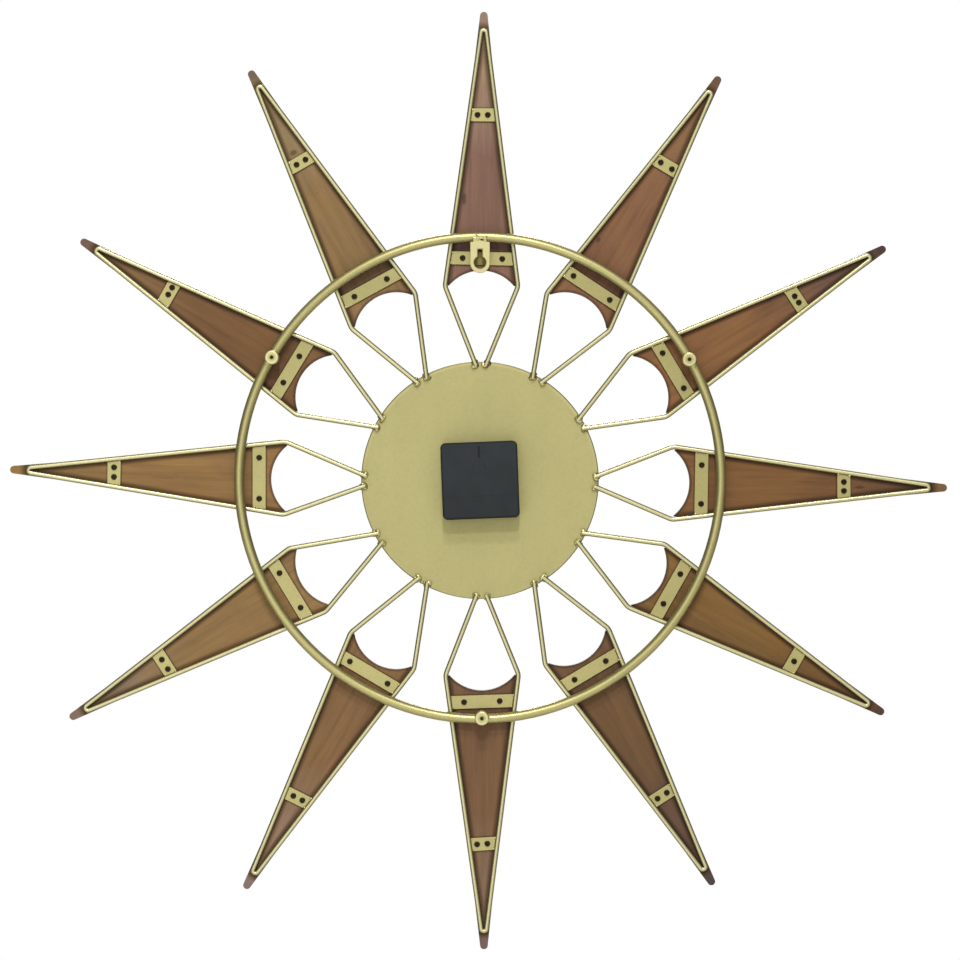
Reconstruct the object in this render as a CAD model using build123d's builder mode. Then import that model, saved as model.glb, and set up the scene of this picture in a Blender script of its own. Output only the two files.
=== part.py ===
from build123d import *
import math
import os

# Sunburst wall clock, in millimetres and degrees.
# +Z is up, the dial faces -Y and the wall is the plane y = 0.
# The origin is the centre of the support ring, on the wall plane.
# Rear-view sketch planes have x to the right and y up, as seen from the wall.

os.makedirs("parts", exist_ok=True)

# ---- rays and dial
RAY_COUNT = 12
RAY_PITCH = 360 / RAY_COUNT
DISC_RADIUS = 87.0
DISC_THICKNESS = 1.5
DISC_EDGE_FILLET = 0.5
DIAL_DROP = 1.8
DIAL_HOLE_RADIUS = 4.2
# Each ray is welded by hand: how far it swings and shifts clockwise, and how far it sits out.
RAY_SWING = [0.5, 1.0, -0.1, 1.0, 0.1, 0.2, -0.4, 0.0, -0.2, 1.8, 1.4, 0.9]
RAY_SHIFT = [0.6, -0.4, 1.3, 1.1, -0.5, -0.7, -1.1, -0.5, 0.2, -0.2, -0.2, -0.1]
RAY_REACH = [0.1, 0.7, -0.6, -0.9, -1.5, -1.0, 0.5, 2.0, 4.2, 1.3, -1.9, 1.0]

# ---- wooden slat, measured outward from the disc's rim
WOOD_THICKNESS = 9.5
WOOD_TIP = 256.0
WOOD_TIP_RADIUS = 2.8
WOOD_HORN = 53.6
WOOD_HORN_HALF_WIDTH = 25.1
WOOD_HORN_FILLET = 0.6
WOOD_NOTCH_TOP = 66.3
WOOD_FRONT_FILLET = 1.2
# The slats are cut to slightly different lengths at the notched end.
NOTCH_SHIFT = [0.6, 0.8, 1.6, 1.4, 1.4, 0.5, 0.4, -0.4, -6.0, -1.2, 0.7, 0.1]

# ---- wire frame, one bent rod to each ray
ROD_DIAMETER = 3.6
ROD_DISC_OVERLAP = 3.1
ROD_END_HALF_WIDTH = 3.5
ROD_KNEE = 54.8
ROD_KNEE_HALF_WIDTH = 26.7
ROD_KNEE_BEND = 9.0
ROD_MEETING = 255.5
ROD_APEX_BEND = 2.0

# ---- straps that screw the wood to the frame
STRAP_THICKNESS = 1.5
STRAP_WIDTH = 9.5
STRAP_END_GAP = 1.45
OUTER_STRAP = 180.2
INNER_STRAP = 74.5
OUTER_SHIFT = [0.2, -0.3, 0.4, 0.1, -0.3, 0.4, -1.5, -1.0, -4.2, -0.5, 0.4, -1.0]
INNER_SHIFT = [0.8, 0.6, 1.7, 1.5, 1.4, 0.3, 0.0, -0.9, -5.0, -1.1, 0.6, -0.4]
OUTER_TILT = [0, 0, 3, 1.5, 0, 3, 3.5, 3.5, 2.5, 1, 2, 1]
INNER_TILT = [-0.8, -2.5, 1, 0, 0.5, 1, 1.5, -0.5, 1.2, 1.8, 0, -0.5]
# Screw places across each strap, clockwise side positive; holes were drilled by eye.
OUTER_SCREWS = [
    (-4.0, 3.5), (-4.5, 5.0), (-2.5, 3.0), (-3.0, 3.5), (0.0,), (-4.0, 4.0),
    (-3.0, 4.5), (-4.0, 3.3), (-5.0, 3.2), (-3.0, 4.0), (-0.5, 5.3), (-3.5, 4.0),
]
INNER_SCREWS = [
    (-14.0, 15.0), (-16.5, 15.3), (-15.0, 15.0), (-13.6, 14.8), (-13.5, 11.5), (-13.1, 13.5),
    (-12.8, 13.3), (-15.3, 16.7), (-15.0, 14.6), (-15.6, 14.4), (-11.6, 10.9), (-13.5, 13.5),
]
SCREW_HEAD_RADIUS = 2.2
SCREW_HEAD_HEIGHT = 1.5
SCREW_HEAD_TAPER = 18
SCREW_SHANK_RADIUS = 1.1
SCREW_BITE = 6.5
SCREW_HOLE_RADIUS = 1.3
RECESS_WIDTH = 0.7
RECESS_LENGTH = 2.2
RECESS_DEPTH = 0.8

# ---- support ring, wall lugs and hanger
RING_RADIUS = 176.0
RING_TUBE_DIAMETER = 7.2
LUG_CIRCLE_RADIUS = 175.0
# Lug places round the ring, counter-clockwise from the right as seen from the wall.
LUG_ANGLES = [29.5, 149.95, 270.45]
LUG_RADIUS = 5.2
LUG_PROUD = 7.0
LUG_EDGE_FILLET = 1.0
LUG_HOLE_RADIUS = 1.25
LUG_HOLE_DEPTH = 5.5
HANGER_THICKNESS = 1.5
HANGER_PROUD = 0.6
HANGER_HALF_WIDTH = 7.15
HANGER_SHOULDER = 172.0
HANGER_SHOULDER_CUT = 0.6
HANGER_TAB_HALF_WIDTH = 4.7
HANGER_TAB_TOP = 175.2
HANGER_ROUND = 156.5
KEYHOLE_ENTRY = 157.0
KEYHOLE_ENTRY_RADIUS = 4.45
KEYHOLE_SLOT_HALF_WIDTH = 1.8
KEYHOLE_SLOT_TOP = 166.8

# ---- movement case
CASE_TURN = 2.2
CASE_SIDE = 56.0
CASE_CORNER = 3.7
CASE_DEPTH = 16.0
CASE_WALL = 1.2
CASE_FLOOR = 1.0
CASE_EDGE_FILLET = 0.7
BAY_FLOOR = 0.6
WASHER_THICKNESS = 0.6
WASHER_RADIUS = 9.0
COVER_THICKNESS = 1.2
COVER_LIP_DEPTH = 0.8
COVER_LIP_WALL = 0.8
COVER_LIP_PLAY = 0.05
PARTITION_LOW = -11.4
PARTITION_HIGH = -10.4
BAY_TROUGH_WIDTH = 6.0
DOOR_LENGTH = 53.2
DOOR_WIDTH = 15.4
DOOR_CENTRE = -19.1
DOOR_THICKNESS = 0.7
DOOR_GAP = 0.12
DOOR_CORNER = 2.6
DOOR_END_LEDGE = 0.6
DOOR_SIDE_LEDGE = 0.25
SLOT_LENGTH = 9.1
SLOT_WIDTH = 1.2
SLOT_DEPTH = 0.5
SLOT_CENTRE = 20.6

# ---- battery and contacts
CELL_RADIUS = 7.25
CELL_BODY = 49.2
CELL_NUB = 1.0
CELL_NUB_RADIUS = 2.75
CELL_FREE_END = 25.8
CELL_FILLET = 0.6
CELL_PLAY = 0.05
CONTACT_THICKNESS = 0.4
CONTACT_HALF_WIDTH = 5.0
CONTACT_HALF_HEIGHT = 5.0
TAIL_HALF_WIDTH = 1.5
TAIL_END = 21.0
LEAF_BOW = 2.0
LEAF_FOOT = 1.0
CONTACT_PIP_RADIUS = 2.25

# ---- gear train, places in the turned rear view of the movement
SPINDLE = (0.0, 0.0)
MINUTE_WORK_DISTANCE = 9.0
MINUTE_WORK_ANGLE = 90
THIRD_DISTANCE = 8.3
THIRD_ANGLE = -10
INTERMEDIATE_DISTANCE = 8.4
INTERMEDIATE_ANGLE = 170
ROTOR_DISTANCE = 7.0
ROTOR_ANGLE = 110
ROTOR_TEETH = 10
INTERMEDIATE_TEETH = 60
INTERMEDIATE_PINION_TEETH = 12
SECOND_TEETH = 60
SECOND_PINION_TEETH = 8
THIRD_TEETH = 60
THIRD_PINION_TEETH = 8
CENTRE_TEETH = 64
CANNON_TEETH = 16
MINUTE_WORK_TEETH = 48
MINUTE_WORK_PINION_TEETH = 12
HOUR_TEETH = 48
ADDENDUM = 1.0
DEDENDUM = 1.25
TOOTH_FILL = 0.85
TOOTH_ROOT_SHARE = 1.15
TOOTH_TIP_SHARE = 0.5
WHEEL_THICKNESS = 0.7
PINION_THICKNESS = 1.0
FINE_ARBOR_RADIUS = 0.4
SECOND_ARBOR_RADIUS = 0.5
WORK_ARBOR_RADIUS = 0.8
PIVOT_PLAY = 0.04
CANNON_RADIUS = 1.6
CANNON_BORE_RADIUS = 0.55
HOUR_TUBE_RADIUS = 2.55
HOUR_TUBE_BORE_RADIUS = 1.65
BUSHING_RADIUS = 4.0
BUSHING_BORE_RADIUS = 2.6
BUSHING_CHAMFER = 0.4
MAGNET_RADIUS = 3.0
MAGNET_BORE_RADIUS = 0.9

# ---- bridge, posts, stator, coil and board
BRIDGE_THICKNESS = 1.0
BRIDGE_GAP = 1.0
BRIDGE_OUTLINE = [
    (17.5, -10.2), (17.5, -5.0), (16.0, 16.5), (-15.7, 17.0), (-15.7, -7.5), (-12.0, -10.2),
]
BRIDGE_POSTS = [(15.5, -8.5), (13.5, 14.5), (-2.5, -9.0)]
STATOR_POSTS = [(-6.5, 15.0), (-14.0, -5.5)]
BOARD_POSTS = [(-20.0, 22.0), (20.0, 22.0)]
POST_RADIUS = 1.5
POST_SHOULDER_RADIUS = 1.1
POST_PIN_RADIUS = 0.8
STATOR_THICKNESS = 0.9
STATOR_HOLE_RADIUS = 3.4
STATOR_ARM = 4.0
STATOR_RIGHT = -4.0
STRIP_LEFT = -15.6
STRIP_RIGHT = -5.7
CORE_CENTRE = -21.5
COIL_LOW = -3.2
COIL_HIGH = 12.7
COIL_RADIUS = 4.1
COIL_PLAY = 0.3
BOBBIN_WALL = 0.6
BOARD_THICKNESS = 0.8
BOARD_LOW = 18.0
BOARD_HIGH = 26.3
BOARD_CENTRE = (BOARD_LOW + BOARD_HIGH) / 2
CRYSTAL_RADIUS = 1.0
CRYSTAL_LENGTH = 6.0
CRYSTAL_FILLET = 0.2
CHIP_RADIUS = 2.4
CHIP_HEIGHT = 0.8
CHIP_TAPER = 30
BOARD_PART_OFFSET = 4.0

# ---- setting knob
KNOB_RADIUS = 4.5
KNOB_HOLE_RADIUS = 4.58

# ---- hands
REST_HOUR = 10
REST_MINUTE = 10
REST_SECOND = 30
HOUR_LENGTH = 46.0
HOUR_TAIL = 12.0
HOUR_HALF_WIDTH = 3.2
HOUR_END_HALF_WIDTH = 1.4
HOUR_HUB_RADIUS = 4.6
MINUTE_LENGTH = 69.0
MINUTE_TAIL = 15.0
MINUTE_HALF_WIDTH = 2.5
MINUTE_END_HALF_WIDTH = 1.1
MINUTE_HUB_RADIUS = 3.6
SECOND_LENGTH = 72.0
SECOND_TAIL = 20.0
SECOND_HALF_WIDTH = 0.6
SECOND_THICKNESS = 0.4
SECOND_HUB_RADIUS = 1.9
SECOND_HUB_CAP = 0.2
COUNTERWEIGHT_RADIUS = 3.0
BLADE_THICKNESS = 0.5
NUT_ACROSS_FLATS = 11.0
NUT_THICKNESS = 2.0
MINUTE_NUT_RADIUS = 2.9
MINUTE_NUT_THICKNESS = 1.2
MINUTE_NUT_CHAMFER = 0.3

# ---- depths along Y, from the wall forward
ROD_RADIUS = ROD_DIAMETER / 2
RING_TUBE_RADIUS = RING_TUBE_DIAMETER / 2
RING_Y = -LUG_PROUD - RING_TUBE_RADIUS
ROD_Y = RING_Y - RING_TUBE_RADIUS - ROD_RADIUS
BACK_Y = ROD_Y - ROD_RADIUS
STRAP_TOP_Y = BACK_Y + STRAP_THICKNESS
HANGER_Y = -LUG_PROUD + HANGER_PROUD - HANGER_THICKNESS
DISC_FRONT_Y = BACK_Y - DISC_THICKNESS
CASE_FRONT_Y = BACK_Y + WASHER_THICKNESS
CASE_REAR_Y = CASE_FRONT_Y + CASE_DEPTH
CASE_RIM_Y = CASE_REAR_Y - COVER_THICKNESS
FLOOR_Y = CASE_FRONT_Y + CASE_FLOOR
HOUR_WHEEL_Y = FLOOR_Y + 0.35
MOTION_WHEEL_Y = HOUR_WHEEL_Y + 1.2
CENTRE_WHEEL_Y = MOTION_WHEEL_Y + 1.2
THIRD_WHEEL_Y = CENTRE_WHEEL_Y + 1.4
SECOND_WHEEL_Y = THIRD_WHEEL_Y + 1.2
INTERMEDIATE_WHEEL_Y = SECOND_WHEEL_Y + 1.1
MAGNET_Y = INTERMEDIATE_WHEEL_Y + 1.2
MAGNET_LENGTH = 3.6
HUB_FRONT_Y = MAGNET_Y - 0.4
STATOR_Y = MAGNET_Y + 1.3
BOARD_Y = STATOR_Y + 1.3
BRIDGE_Y = CASE_RIM_Y - BRIDGE_GAP - BRIDGE_THICKNESS
ARBOR_REAR_Y = BRIDGE_Y + BRIDGE_THICKNESS - 0.1
KNOB_FRONT_Y = BRIDGE_Y + BRIDGE_THICKNESS + 0.2
WORK_REAR_Y = CASE_RIM_Y + 0.4
PIVOT_FRONT_Y = FLOOR_Y - 0.6
PIVOT_HOLE_Y = PIVOT_FRONT_Y - 0.1
PIVOT_HOLE_DEPTH = FLOOR_Y - PIVOT_HOLE_Y
CANNON_REAR_Y = THIRD_WHEEL_Y - 0.3
BUSHING_FRONT_Y = DISC_FRONT_Y - NUT_THICKNESS - 0.6
HOUR_HUB_Y = BUSHING_FRONT_Y - 1.4
HOUR_TUBE_FRONT_Y = HOUR_HUB_Y - 0.1
MINUTE_HUB_Y = HOUR_TUBE_FRONT_Y - 1.4
MINUTE_NUT_Y = MINUTE_HUB_Y - MINUTE_NUT_THICKNESS
CANNON_FRONT_Y = MINUTE_NUT_Y - 0.2
SECOND_HUB_Y = CANNON_FRONT_Y - 2.2
HUB_LENGTH = 1.2


def rear_plane(depth, turn=0.0, drop=DIAL_DROP):
    """Plane parallel to the wall, on the dial's axis, turned counter-clockwise as seen from the wall."""
    angle = math.radians(turn)
    right = (-math.cos(angle), 0, math.sin(angle))
    return Plane(origin=(0, depth, -drop), x_dir=right, z_dir=(0, 1, 0))


def case_plane(depth):
    """Rear-view plane of the movement, which sits a little turned on the dial."""
    return rear_plane(depth, CASE_TURN)


def ray_plane(index, depth):
    """Plane of one ray: y runs outward from the disc's rim, x clockwise as seen from the wall."""
    angle = math.radians(index * RAY_PITCH)
    turned = math.radians(index * RAY_PITCH + RAY_SWING[index])
    reach = RAY_REACH[index]
    shift = RAY_SHIFT[index]
    x = -DISC_RADIUS * math.sin(angle) - reach * math.sin(turned) - shift * math.cos(turned)
    z = DISC_RADIUS * math.cos(angle) + reach * math.cos(turned) - shift * math.sin(turned) - DIAL_DROP
    right = (-math.cos(turned), 0, -math.sin(turned))
    return Plane(origin=(x, depth, z), x_dir=right, z_dir=(0, 1, 0))


def polar(distance, angle, start=(0.0, 0.0)):
    """Point at a distance and angle from a start point."""
    turn = math.radians(angle)
    return (start[0] + distance * math.cos(turn), start[1] + distance * math.sin(turn))


def finish(part, name):
    """Labels a finished piece and writes it under its node name."""
    part.label = name
    export_step(part, f"parts/{name}.step")


# ---------------------------------------------------------------- rays

WOOD_TAPER = WOOD_HORN_HALF_WIDTH / (WOOD_TIP - WOOD_HORN)
ROD_SLOPE = ROD_KNEE_HALF_WIDTH / (ROD_MEETING - ROD_KNEE)


def strap_line(offset, centre, tilt):
    """Distance from the rim of a tilted strap's middle line, at an offset across it."""
    return centre + offset * math.tan(math.radians(tilt))


def screw_points(centres, tilts, offsets):
    """Places of each ray's screws along one set of straps, in the ray's plane."""
    return [
        [(x, strap_line(x, centre, tilt)) for x in row]
        for centre, tilt, row in zip(centres, tilts, offsets)
    ]


def make_ray(index, screws):
    """Wooden slat: a long taper with a rounded tip and a round notch between two horns."""
    horn_y = WOOD_HORN + NOTCH_SHIFT[index]
    tip_y = WOOD_TIP - WOOD_TIP_RADIUS
    horn_x = WOOD_HORN_HALF_WIDTH - NOTCH_SHIFT[index] * WOOD_TAPER
    side_reach = math.hypot(horn_x, tip_y - horn_y)
    lean = math.atan2(horn_x, tip_y - horn_y) - math.asin(WOOD_TIP_RADIUS / side_reach)
    side_x = WOOD_TIP_RADIUS * math.cos(lean)
    side_y = tip_y + WOOD_TIP_RADIUS * math.sin(lean)
    left_horn = (-horn_x, horn_y)
    right_horn = (horn_x, horn_y)
    with BuildPart() as ray:
        with BuildSketch(ray_plane(index, BACK_Y)) as outline:
            with BuildLine():
                Line(right_horn, (side_x, side_y))
                ThreePointArc((side_x, side_y), (0, WOOD_TIP), (-side_x, side_y))
                Line((-side_x, side_y), left_horn)
                ThreePointArc(left_horn, (0, WOOD_NOTCH_TOP + NOTCH_SHIFT[index]), right_horn)
            make_face()
            fillet(outline.vertices().group_by(Axis.Y)[0], WOOD_HORN_FILLET)
        extrude(amount=-WOOD_THICKNESS)
        front_edges = ray.faces().sort_by(Axis.Y)[0].edges()
        fillet(front_edges, WOOD_FRONT_FILLET)
        with BuildSketch(ray_plane(index, BACK_Y)):
            with Locations(*screws):
                Circle(SCREW_SHANK_RADIUS)
        extrude(amount=-SCREW_BITE, mode=Mode.SUBTRACT)
    finish(ray.part, f"ray_{index + 1:02d}")


def make_wire_frame(index):
    """One rod bent at two knees and doubled back at the tip, its ends lying on the disc."""
    plane = ray_plane(index, ROD_Y)
    end_y = -ROD_DISC_OVERLAP - RAY_REACH[index]
    points = [
        (-ROD_END_HALF_WIDTH, end_y),
        (-ROD_KNEE_HALF_WIDTH, ROD_KNEE),
        (0, ROD_MEETING),
        (ROD_KNEE_HALF_WIDTH, ROD_KNEE),
        (ROD_END_HALF_WIDTH, end_y),
    ]
    with BuildPart() as wire:
        with BuildLine(plane) as path:
            FilletPolyline(*points, radius=[ROD_KNEE_BEND, ROD_APEX_BEND, ROD_KNEE_BEND])
        with BuildSketch(Plane(origin=path.line @ 0, z_dir=path.line % 0)):
            Circle(ROD_RADIUS)
        sweep()
    finish(wire.part, f"wire_frame_{index + 1:02d}")
    return wire.part


def strap_corners(centre, tilt):
    """Corners of one strap, whose ends follow the rods on both sides."""
    corners = []
    for side, edge in ((-1, -1), (1, -1), (1, 1), (-1, 1)):
        reach = side * (ROD_SLOPE * (ROD_MEETING - centre) - STRAP_END_GAP)
        y = strap_line(reach, centre, tilt) + edge * STRAP_WIDTH / 2
        corners.append((side * (ROD_SLOPE * (ROD_MEETING - y) - STRAP_END_GAP), y))
    return corners


def make_straps(name, centres, tilts, screws, wires):
    """Flat bars between the rods, one to each ray, lying on the wood."""
    with BuildPart() as straps:
        for index in range(RAY_COUNT):
            with BuildSketch(ray_plane(index, BACK_Y)):
                Polygon(*strap_corners(centres[index], tilts[index]), align=None)
            extrude(amount=STRAP_THICKNESS)
            add(wires[index], mode=Mode.SUBTRACT)
            with BuildSketch(ray_plane(index, BACK_Y)):
                with Locations(*screws[index]):
                    Circle(SCREW_HOLE_RADIUS)
            extrude(amount=STRAP_THICKNESS, mode=Mode.SUBTRACT)
    finish(straps.part, name)


def make_screws(name, screws):
    """Round-headed wood screws with a cross recess, through the straps into the wood."""
    with BuildPart() as group:
        for index in range(RAY_COUNT):
            with BuildSketch(ray_plane(index, BACK_Y - SCREW_BITE)):
                with Locations(*screws[index]):
                    Circle(SCREW_SHANK_RADIUS)
            extrude(amount=SCREW_BITE + STRAP_THICKNESS)
            with BuildSketch(ray_plane(index, STRAP_TOP_Y)):
                with Locations(*screws[index]):
                    Circle(SCREW_HEAD_RADIUS)
            extrude(amount=SCREW_HEAD_HEIGHT, taper=SCREW_HEAD_TAPER)
            with BuildSketch(ray_plane(index, STRAP_TOP_Y + SCREW_HEAD_HEIGHT)):
                with Locations(*screws[index]):
                    Rectangle(RECESS_LENGTH, RECESS_WIDTH)
                    Rectangle(RECESS_WIDTH, RECESS_LENGTH)
            extrude(amount=-RECESS_DEPTH, mode=Mode.SUBTRACT)
    finish(group.part, name)


outer_centres = [OUTER_STRAP + shift for shift in OUTER_SHIFT]
inner_centres = [INNER_STRAP + shift for shift in INNER_SHIFT]
outer_points = screw_points(outer_centres, OUTER_TILT, OUTER_SCREWS)
inner_points = screw_points(inner_centres, INNER_TILT, INNER_SCREWS)
wires = [make_wire_frame(index) for index in range(RAY_COUNT)]
for index in range(RAY_COUNT):
    make_ray(index, outer_points[index] + inner_points[index])
make_straps("outer_straps", outer_centres, OUTER_TILT, outer_points, wires)
make_straps("inner_straps", inner_centres, INNER_TILT, inner_points, wires)
make_screws("outer_strap_screws", outer_points)
make_screws("inner_strap_screws", inner_points)

# ---------------------------------------------------------------- ring, lugs, hanger and disc

with BuildPart() as support_ring:
    with BuildSketch(Plane.YZ):
        with Locations((RING_Y, RING_RADIUS)):
            Circle(RING_TUBE_RADIUS)
    revolve(axis=Axis.Y)
finish(support_ring.part, "support_ring")

lug_turns = [math.radians(angle) for angle in LUG_ANGLES]
lug_places = [(LUG_CIRCLE_RADIUS * math.cos(t), LUG_CIRCLE_RADIUS * math.sin(t)) for t in lug_turns]
with BuildPart() as standoff_lugs:
    with BuildSketch(rear_plane(RING_Y, drop=0)):
        with Locations(*lug_places):
            Circle(LUG_RADIUS)
    extrude(amount=-RING_Y)
    wall_faces = standoff_lugs.faces().filter_by(Plane.XZ).sort_by(Axis.Y)[-len(LUG_ANGLES):]
    fillet(wall_faces.edges(), LUG_EDGE_FILLET)
    with BuildSketch(rear_plane(0, drop=0)):
        with Locations(*lug_places):
            Circle(LUG_HOLE_RADIUS)
    extrude(amount=-LUG_HOLE_DEPTH, mode=Mode.SUBTRACT)
    add(support_ring.part, mode=Mode.SUBTRACT)
finish(standoff_lugs.part, "standoff_lugs")

with BuildPart() as hanger_plate:
    with BuildSketch(rear_plane(HANGER_Y, drop=0)):
        with Locations((0, HANGER_ROUND)):
            Circle(HANGER_HALF_WIDTH)
        Polygon(
            (-HANGER_HALF_WIDTH, HANGER_ROUND),
            (HANGER_HALF_WIDTH, HANGER_ROUND),
            (HANGER_HALF_WIDTH, HANGER_SHOULDER - HANGER_SHOULDER_CUT),
            (HANGER_HALF_WIDTH - HANGER_SHOULDER_CUT, HANGER_SHOULDER),
            (HANGER_TAB_HALF_WIDTH, HANGER_SHOULDER),
            (HANGER_TAB_HALF_WIDTH, HANGER_TAB_TOP),
            (-HANGER_TAB_HALF_WIDTH, HANGER_TAB_TOP),
            (-HANGER_TAB_HALF_WIDTH, HANGER_SHOULDER),
            (HANGER_SHOULDER_CUT - HANGER_HALF_WIDTH, HANGER_SHOULDER),
            (-HANGER_HALF_WIDTH, HANGER_SHOULDER - HANGER_SHOULDER_CUT),
            align=None,
        )
    extrude(amount=HANGER_THICKNESS)
    slot_end = KEYHOLE_SLOT_TOP - KEYHOLE_SLOT_HALF_WIDTH
    with BuildSketch(rear_plane(HANGER_Y, drop=0)):
        with Locations((0, KEYHOLE_ENTRY)):
            Circle(KEYHOLE_ENTRY_RADIUS)
        with Locations((0, slot_end)):
            Circle(KEYHOLE_SLOT_HALF_WIDTH)
        with Locations((0, (KEYHOLE_ENTRY + slot_end) / 2)):
            Rectangle(2 * KEYHOLE_SLOT_HALF_WIDTH, slot_end - KEYHOLE_ENTRY)
    extrude(amount=HANGER_THICKNESS, mode=Mode.SUBTRACT)
    add(support_ring.part, mode=Mode.SUBTRACT)
finish(hanger_plate.part, "hanger_plate")

with BuildPart() as dial_disc:
    with BuildSketch(rear_plane(DISC_FRONT_Y)):
        Circle(DISC_RADIUS)
        Circle(DIAL_HOLE_RADIUS, mode=Mode.SUBTRACT)
    extrude(amount=DISC_THICKNESS)
    rims = dial_disc.edges().filter_by(GeomType.CIRCLE).sort_by(SortBy.RADIUS)[-2:]
    fillet(rims, DISC_EDGE_FILLET)
finish(dial_disc.part, "dial_disc")

# ---------------------------------------------------------------- movement case


def round_layer(place, depth, thickness, radius, mode=Mode.ADD):
    """Adds or cuts one round layer of the part being built."""
    with BuildSketch(case_plane(depth)) as layer:
        with Locations(place):
            Circle(radius)
    extrude(layer.sketch, amount=thickness, mode=mode)


WORK = polar(MINUTE_WORK_DISTANCE, MINUTE_WORK_ANGLE)
THIRD = polar(THIRD_DISTANCE, THIRD_ANGLE)
INTERMEDIATE = polar(INTERMEDIATE_DISTANCE, INTERMEDIATE_ANGLE)
ROTOR = polar(ROTOR_DISTANCE, ROTOR_ANGLE, INTERMEDIATE)
INNER_HALF = CASE_SIDE / 2 - CASE_WALL
INNER_CORNER = CASE_CORNER - CASE_WALL
CHAMBER_HEIGHT = INNER_HALF - PARTITION_HIGH
CHAMBER_CENTRE = (INNER_HALF + PARTITION_HIGH) / 2
PARTITION_CENTRE = (PARTITION_LOW + PARTITION_HIGH) / 2
CELL_Y = CASE_FRONT_Y + BAY_FLOOR + CELL_RADIUS + CELL_PLAY

with BuildPart() as movement_front_case:
    with BuildSketch(case_plane(CASE_FRONT_Y)):
        RectangleRounded(CASE_SIDE, CASE_SIDE, CASE_CORNER)
    extrude(amount=CASE_RIM_Y - CASE_FRONT_Y)
    fillet(movement_front_case.faces().sort_by(Axis.Y)[0].edges(), CASE_EDGE_FILLET)
    with BuildSketch(case_plane(FLOOR_Y)):
        RectangleRounded(2 * INNER_HALF, 2 * INNER_HALF, INNER_CORNER)
    extrude(amount=CASE_RIM_Y - FLOOR_Y, mode=Mode.SUBTRACT)
    with BuildSketch(case_plane(CASE_FRONT_Y + BAY_FLOOR)):
        with Locations((0, DOOR_CENTRE)):
            Rectangle(2 * INNER_HALF, BAY_TROUGH_WIDTH)
    extrude(amount=CASE_FLOOR - BAY_FLOOR, mode=Mode.SUBTRACT)
    with BuildSketch(case_plane(FLOOR_Y)):
        with Locations((0, PARTITION_CENTRE)):
            Rectangle(2 * INNER_HALF, PARTITION_HIGH - PARTITION_LOW)
    extrude(amount=CASE_RIM_Y - FLOOR_Y)
    with BuildSketch(case_plane(CELL_Y - TAIL_HALF_WIDTH)):
        for side in (-1, 1):
            with Locations((side * (INNER_HALF - CONTACT_THICKNESS / 2), PARTITION_CENTRE)):
                Rectangle(CONTACT_THICKNESS, 2 * (PARTITION_HIGH - PARTITION_LOW))
    extrude(amount=2 * TAIL_HALF_WIDTH, mode=Mode.SUBTRACT)
    for place in BRIDGE_POSTS:
        round_layer(place, FLOOR_Y, BRIDGE_Y - FLOOR_Y, POST_RADIUS)
    for place in STATOR_POSTS:
        round_layer(place, FLOOR_Y, STATOR_Y - FLOOR_Y, POST_RADIUS)
        round_layer(place, STATOR_Y, BRIDGE_Y - STATOR_Y, POST_SHOULDER_RADIUS)
    for place in BRIDGE_POSTS + STATOR_POSTS:
        round_layer(place, BRIDGE_Y, BRIDGE_THICKNESS, POST_PIN_RADIUS)
    for place in BOARD_POSTS:
        round_layer(place, FLOOR_Y, BOARD_Y - FLOOR_Y, POST_RADIUS)
    round_layer(SPINDLE, CASE_FRONT_Y, CASE_FLOOR, BUSHING_RADIUS, Mode.SUBTRACT)
    for place in (THIRD, INTERMEDIATE, ROTOR):
        round_layer(place, PIVOT_HOLE_Y, PIVOT_HOLE_DEPTH, FINE_ARBOR_RADIUS + PIVOT_PLAY, Mode.SUBTRACT)
    round_layer(WORK, PIVOT_HOLE_Y, PIVOT_HOLE_DEPTH, WORK_ARBOR_RADIUS + PIVOT_PLAY, Mode.SUBTRACT)
finish(movement_front_case.part, "movement_front_case")

with BuildPart() as movement_rear_cover:
    with BuildSketch(case_plane(CASE_RIM_Y)):
        RectangleRounded(CASE_SIDE, CASE_SIDE, CASE_CORNER)
    extrude(amount=COVER_THICKNESS)
    fillet(movement_rear_cover.faces().sort_by(Axis.Y)[-1].edges(), CASE_EDGE_FILLET)
    with BuildSketch(case_plane(CASE_RIM_Y - COVER_LIP_DEPTH)):
        with Locations((0, CHAMBER_CENTRE)):
            RectangleRounded(
                2 * (INNER_HALF - COVER_LIP_PLAY),
                CHAMBER_HEIGHT - 2 * COVER_LIP_PLAY,
                INNER_CORNER,
            )
            RectangleRounded(
                2 * (INNER_HALF - COVER_LIP_PLAY - COVER_LIP_WALL),
                CHAMBER_HEIGHT - 2 * (COVER_LIP_PLAY + COVER_LIP_WALL),
                INNER_CORNER - COVER_LIP_WALL,
                mode=Mode.SUBTRACT,
            )
    extrude(amount=COVER_LIP_DEPTH)
    with BuildSketch(case_plane(CASE_RIM_Y)):
        with Locations((0, DOOR_CENTRE)):
            RectangleRounded(
                DOOR_LENGTH - 2 * DOOR_END_LEDGE,
                DOOR_WIDTH - 2 * DOOR_SIDE_LEDGE,
                DOOR_CORNER - DOOR_END_LEDGE,
            )
        with Locations(WORK):
            Circle(KNOB_HOLE_RADIUS)
    extrude(amount=COVER_THICKNESS, mode=Mode.SUBTRACT)
    with BuildSketch(case_plane(CASE_REAR_Y)):
        with Locations((0, DOOR_CENTRE)):
            RectangleRounded(
                DOOR_LENGTH + 2 * DOOR_GAP,
                DOOR_WIDTH + 2 * DOOR_GAP,
                DOOR_CORNER + DOOR_GAP,
            )
    extrude(amount=-DOOR_THICKNESS, mode=Mode.SUBTRACT)
    with BuildSketch(case_plane(CASE_REAR_Y)):
        with Locations((0, SLOT_CENTRE)):
            SlotOverall(SLOT_LENGTH, SLOT_WIDTH, rotation=90)
    extrude(amount=-SLOT_DEPTH, mode=Mode.SUBTRACT)
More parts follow.
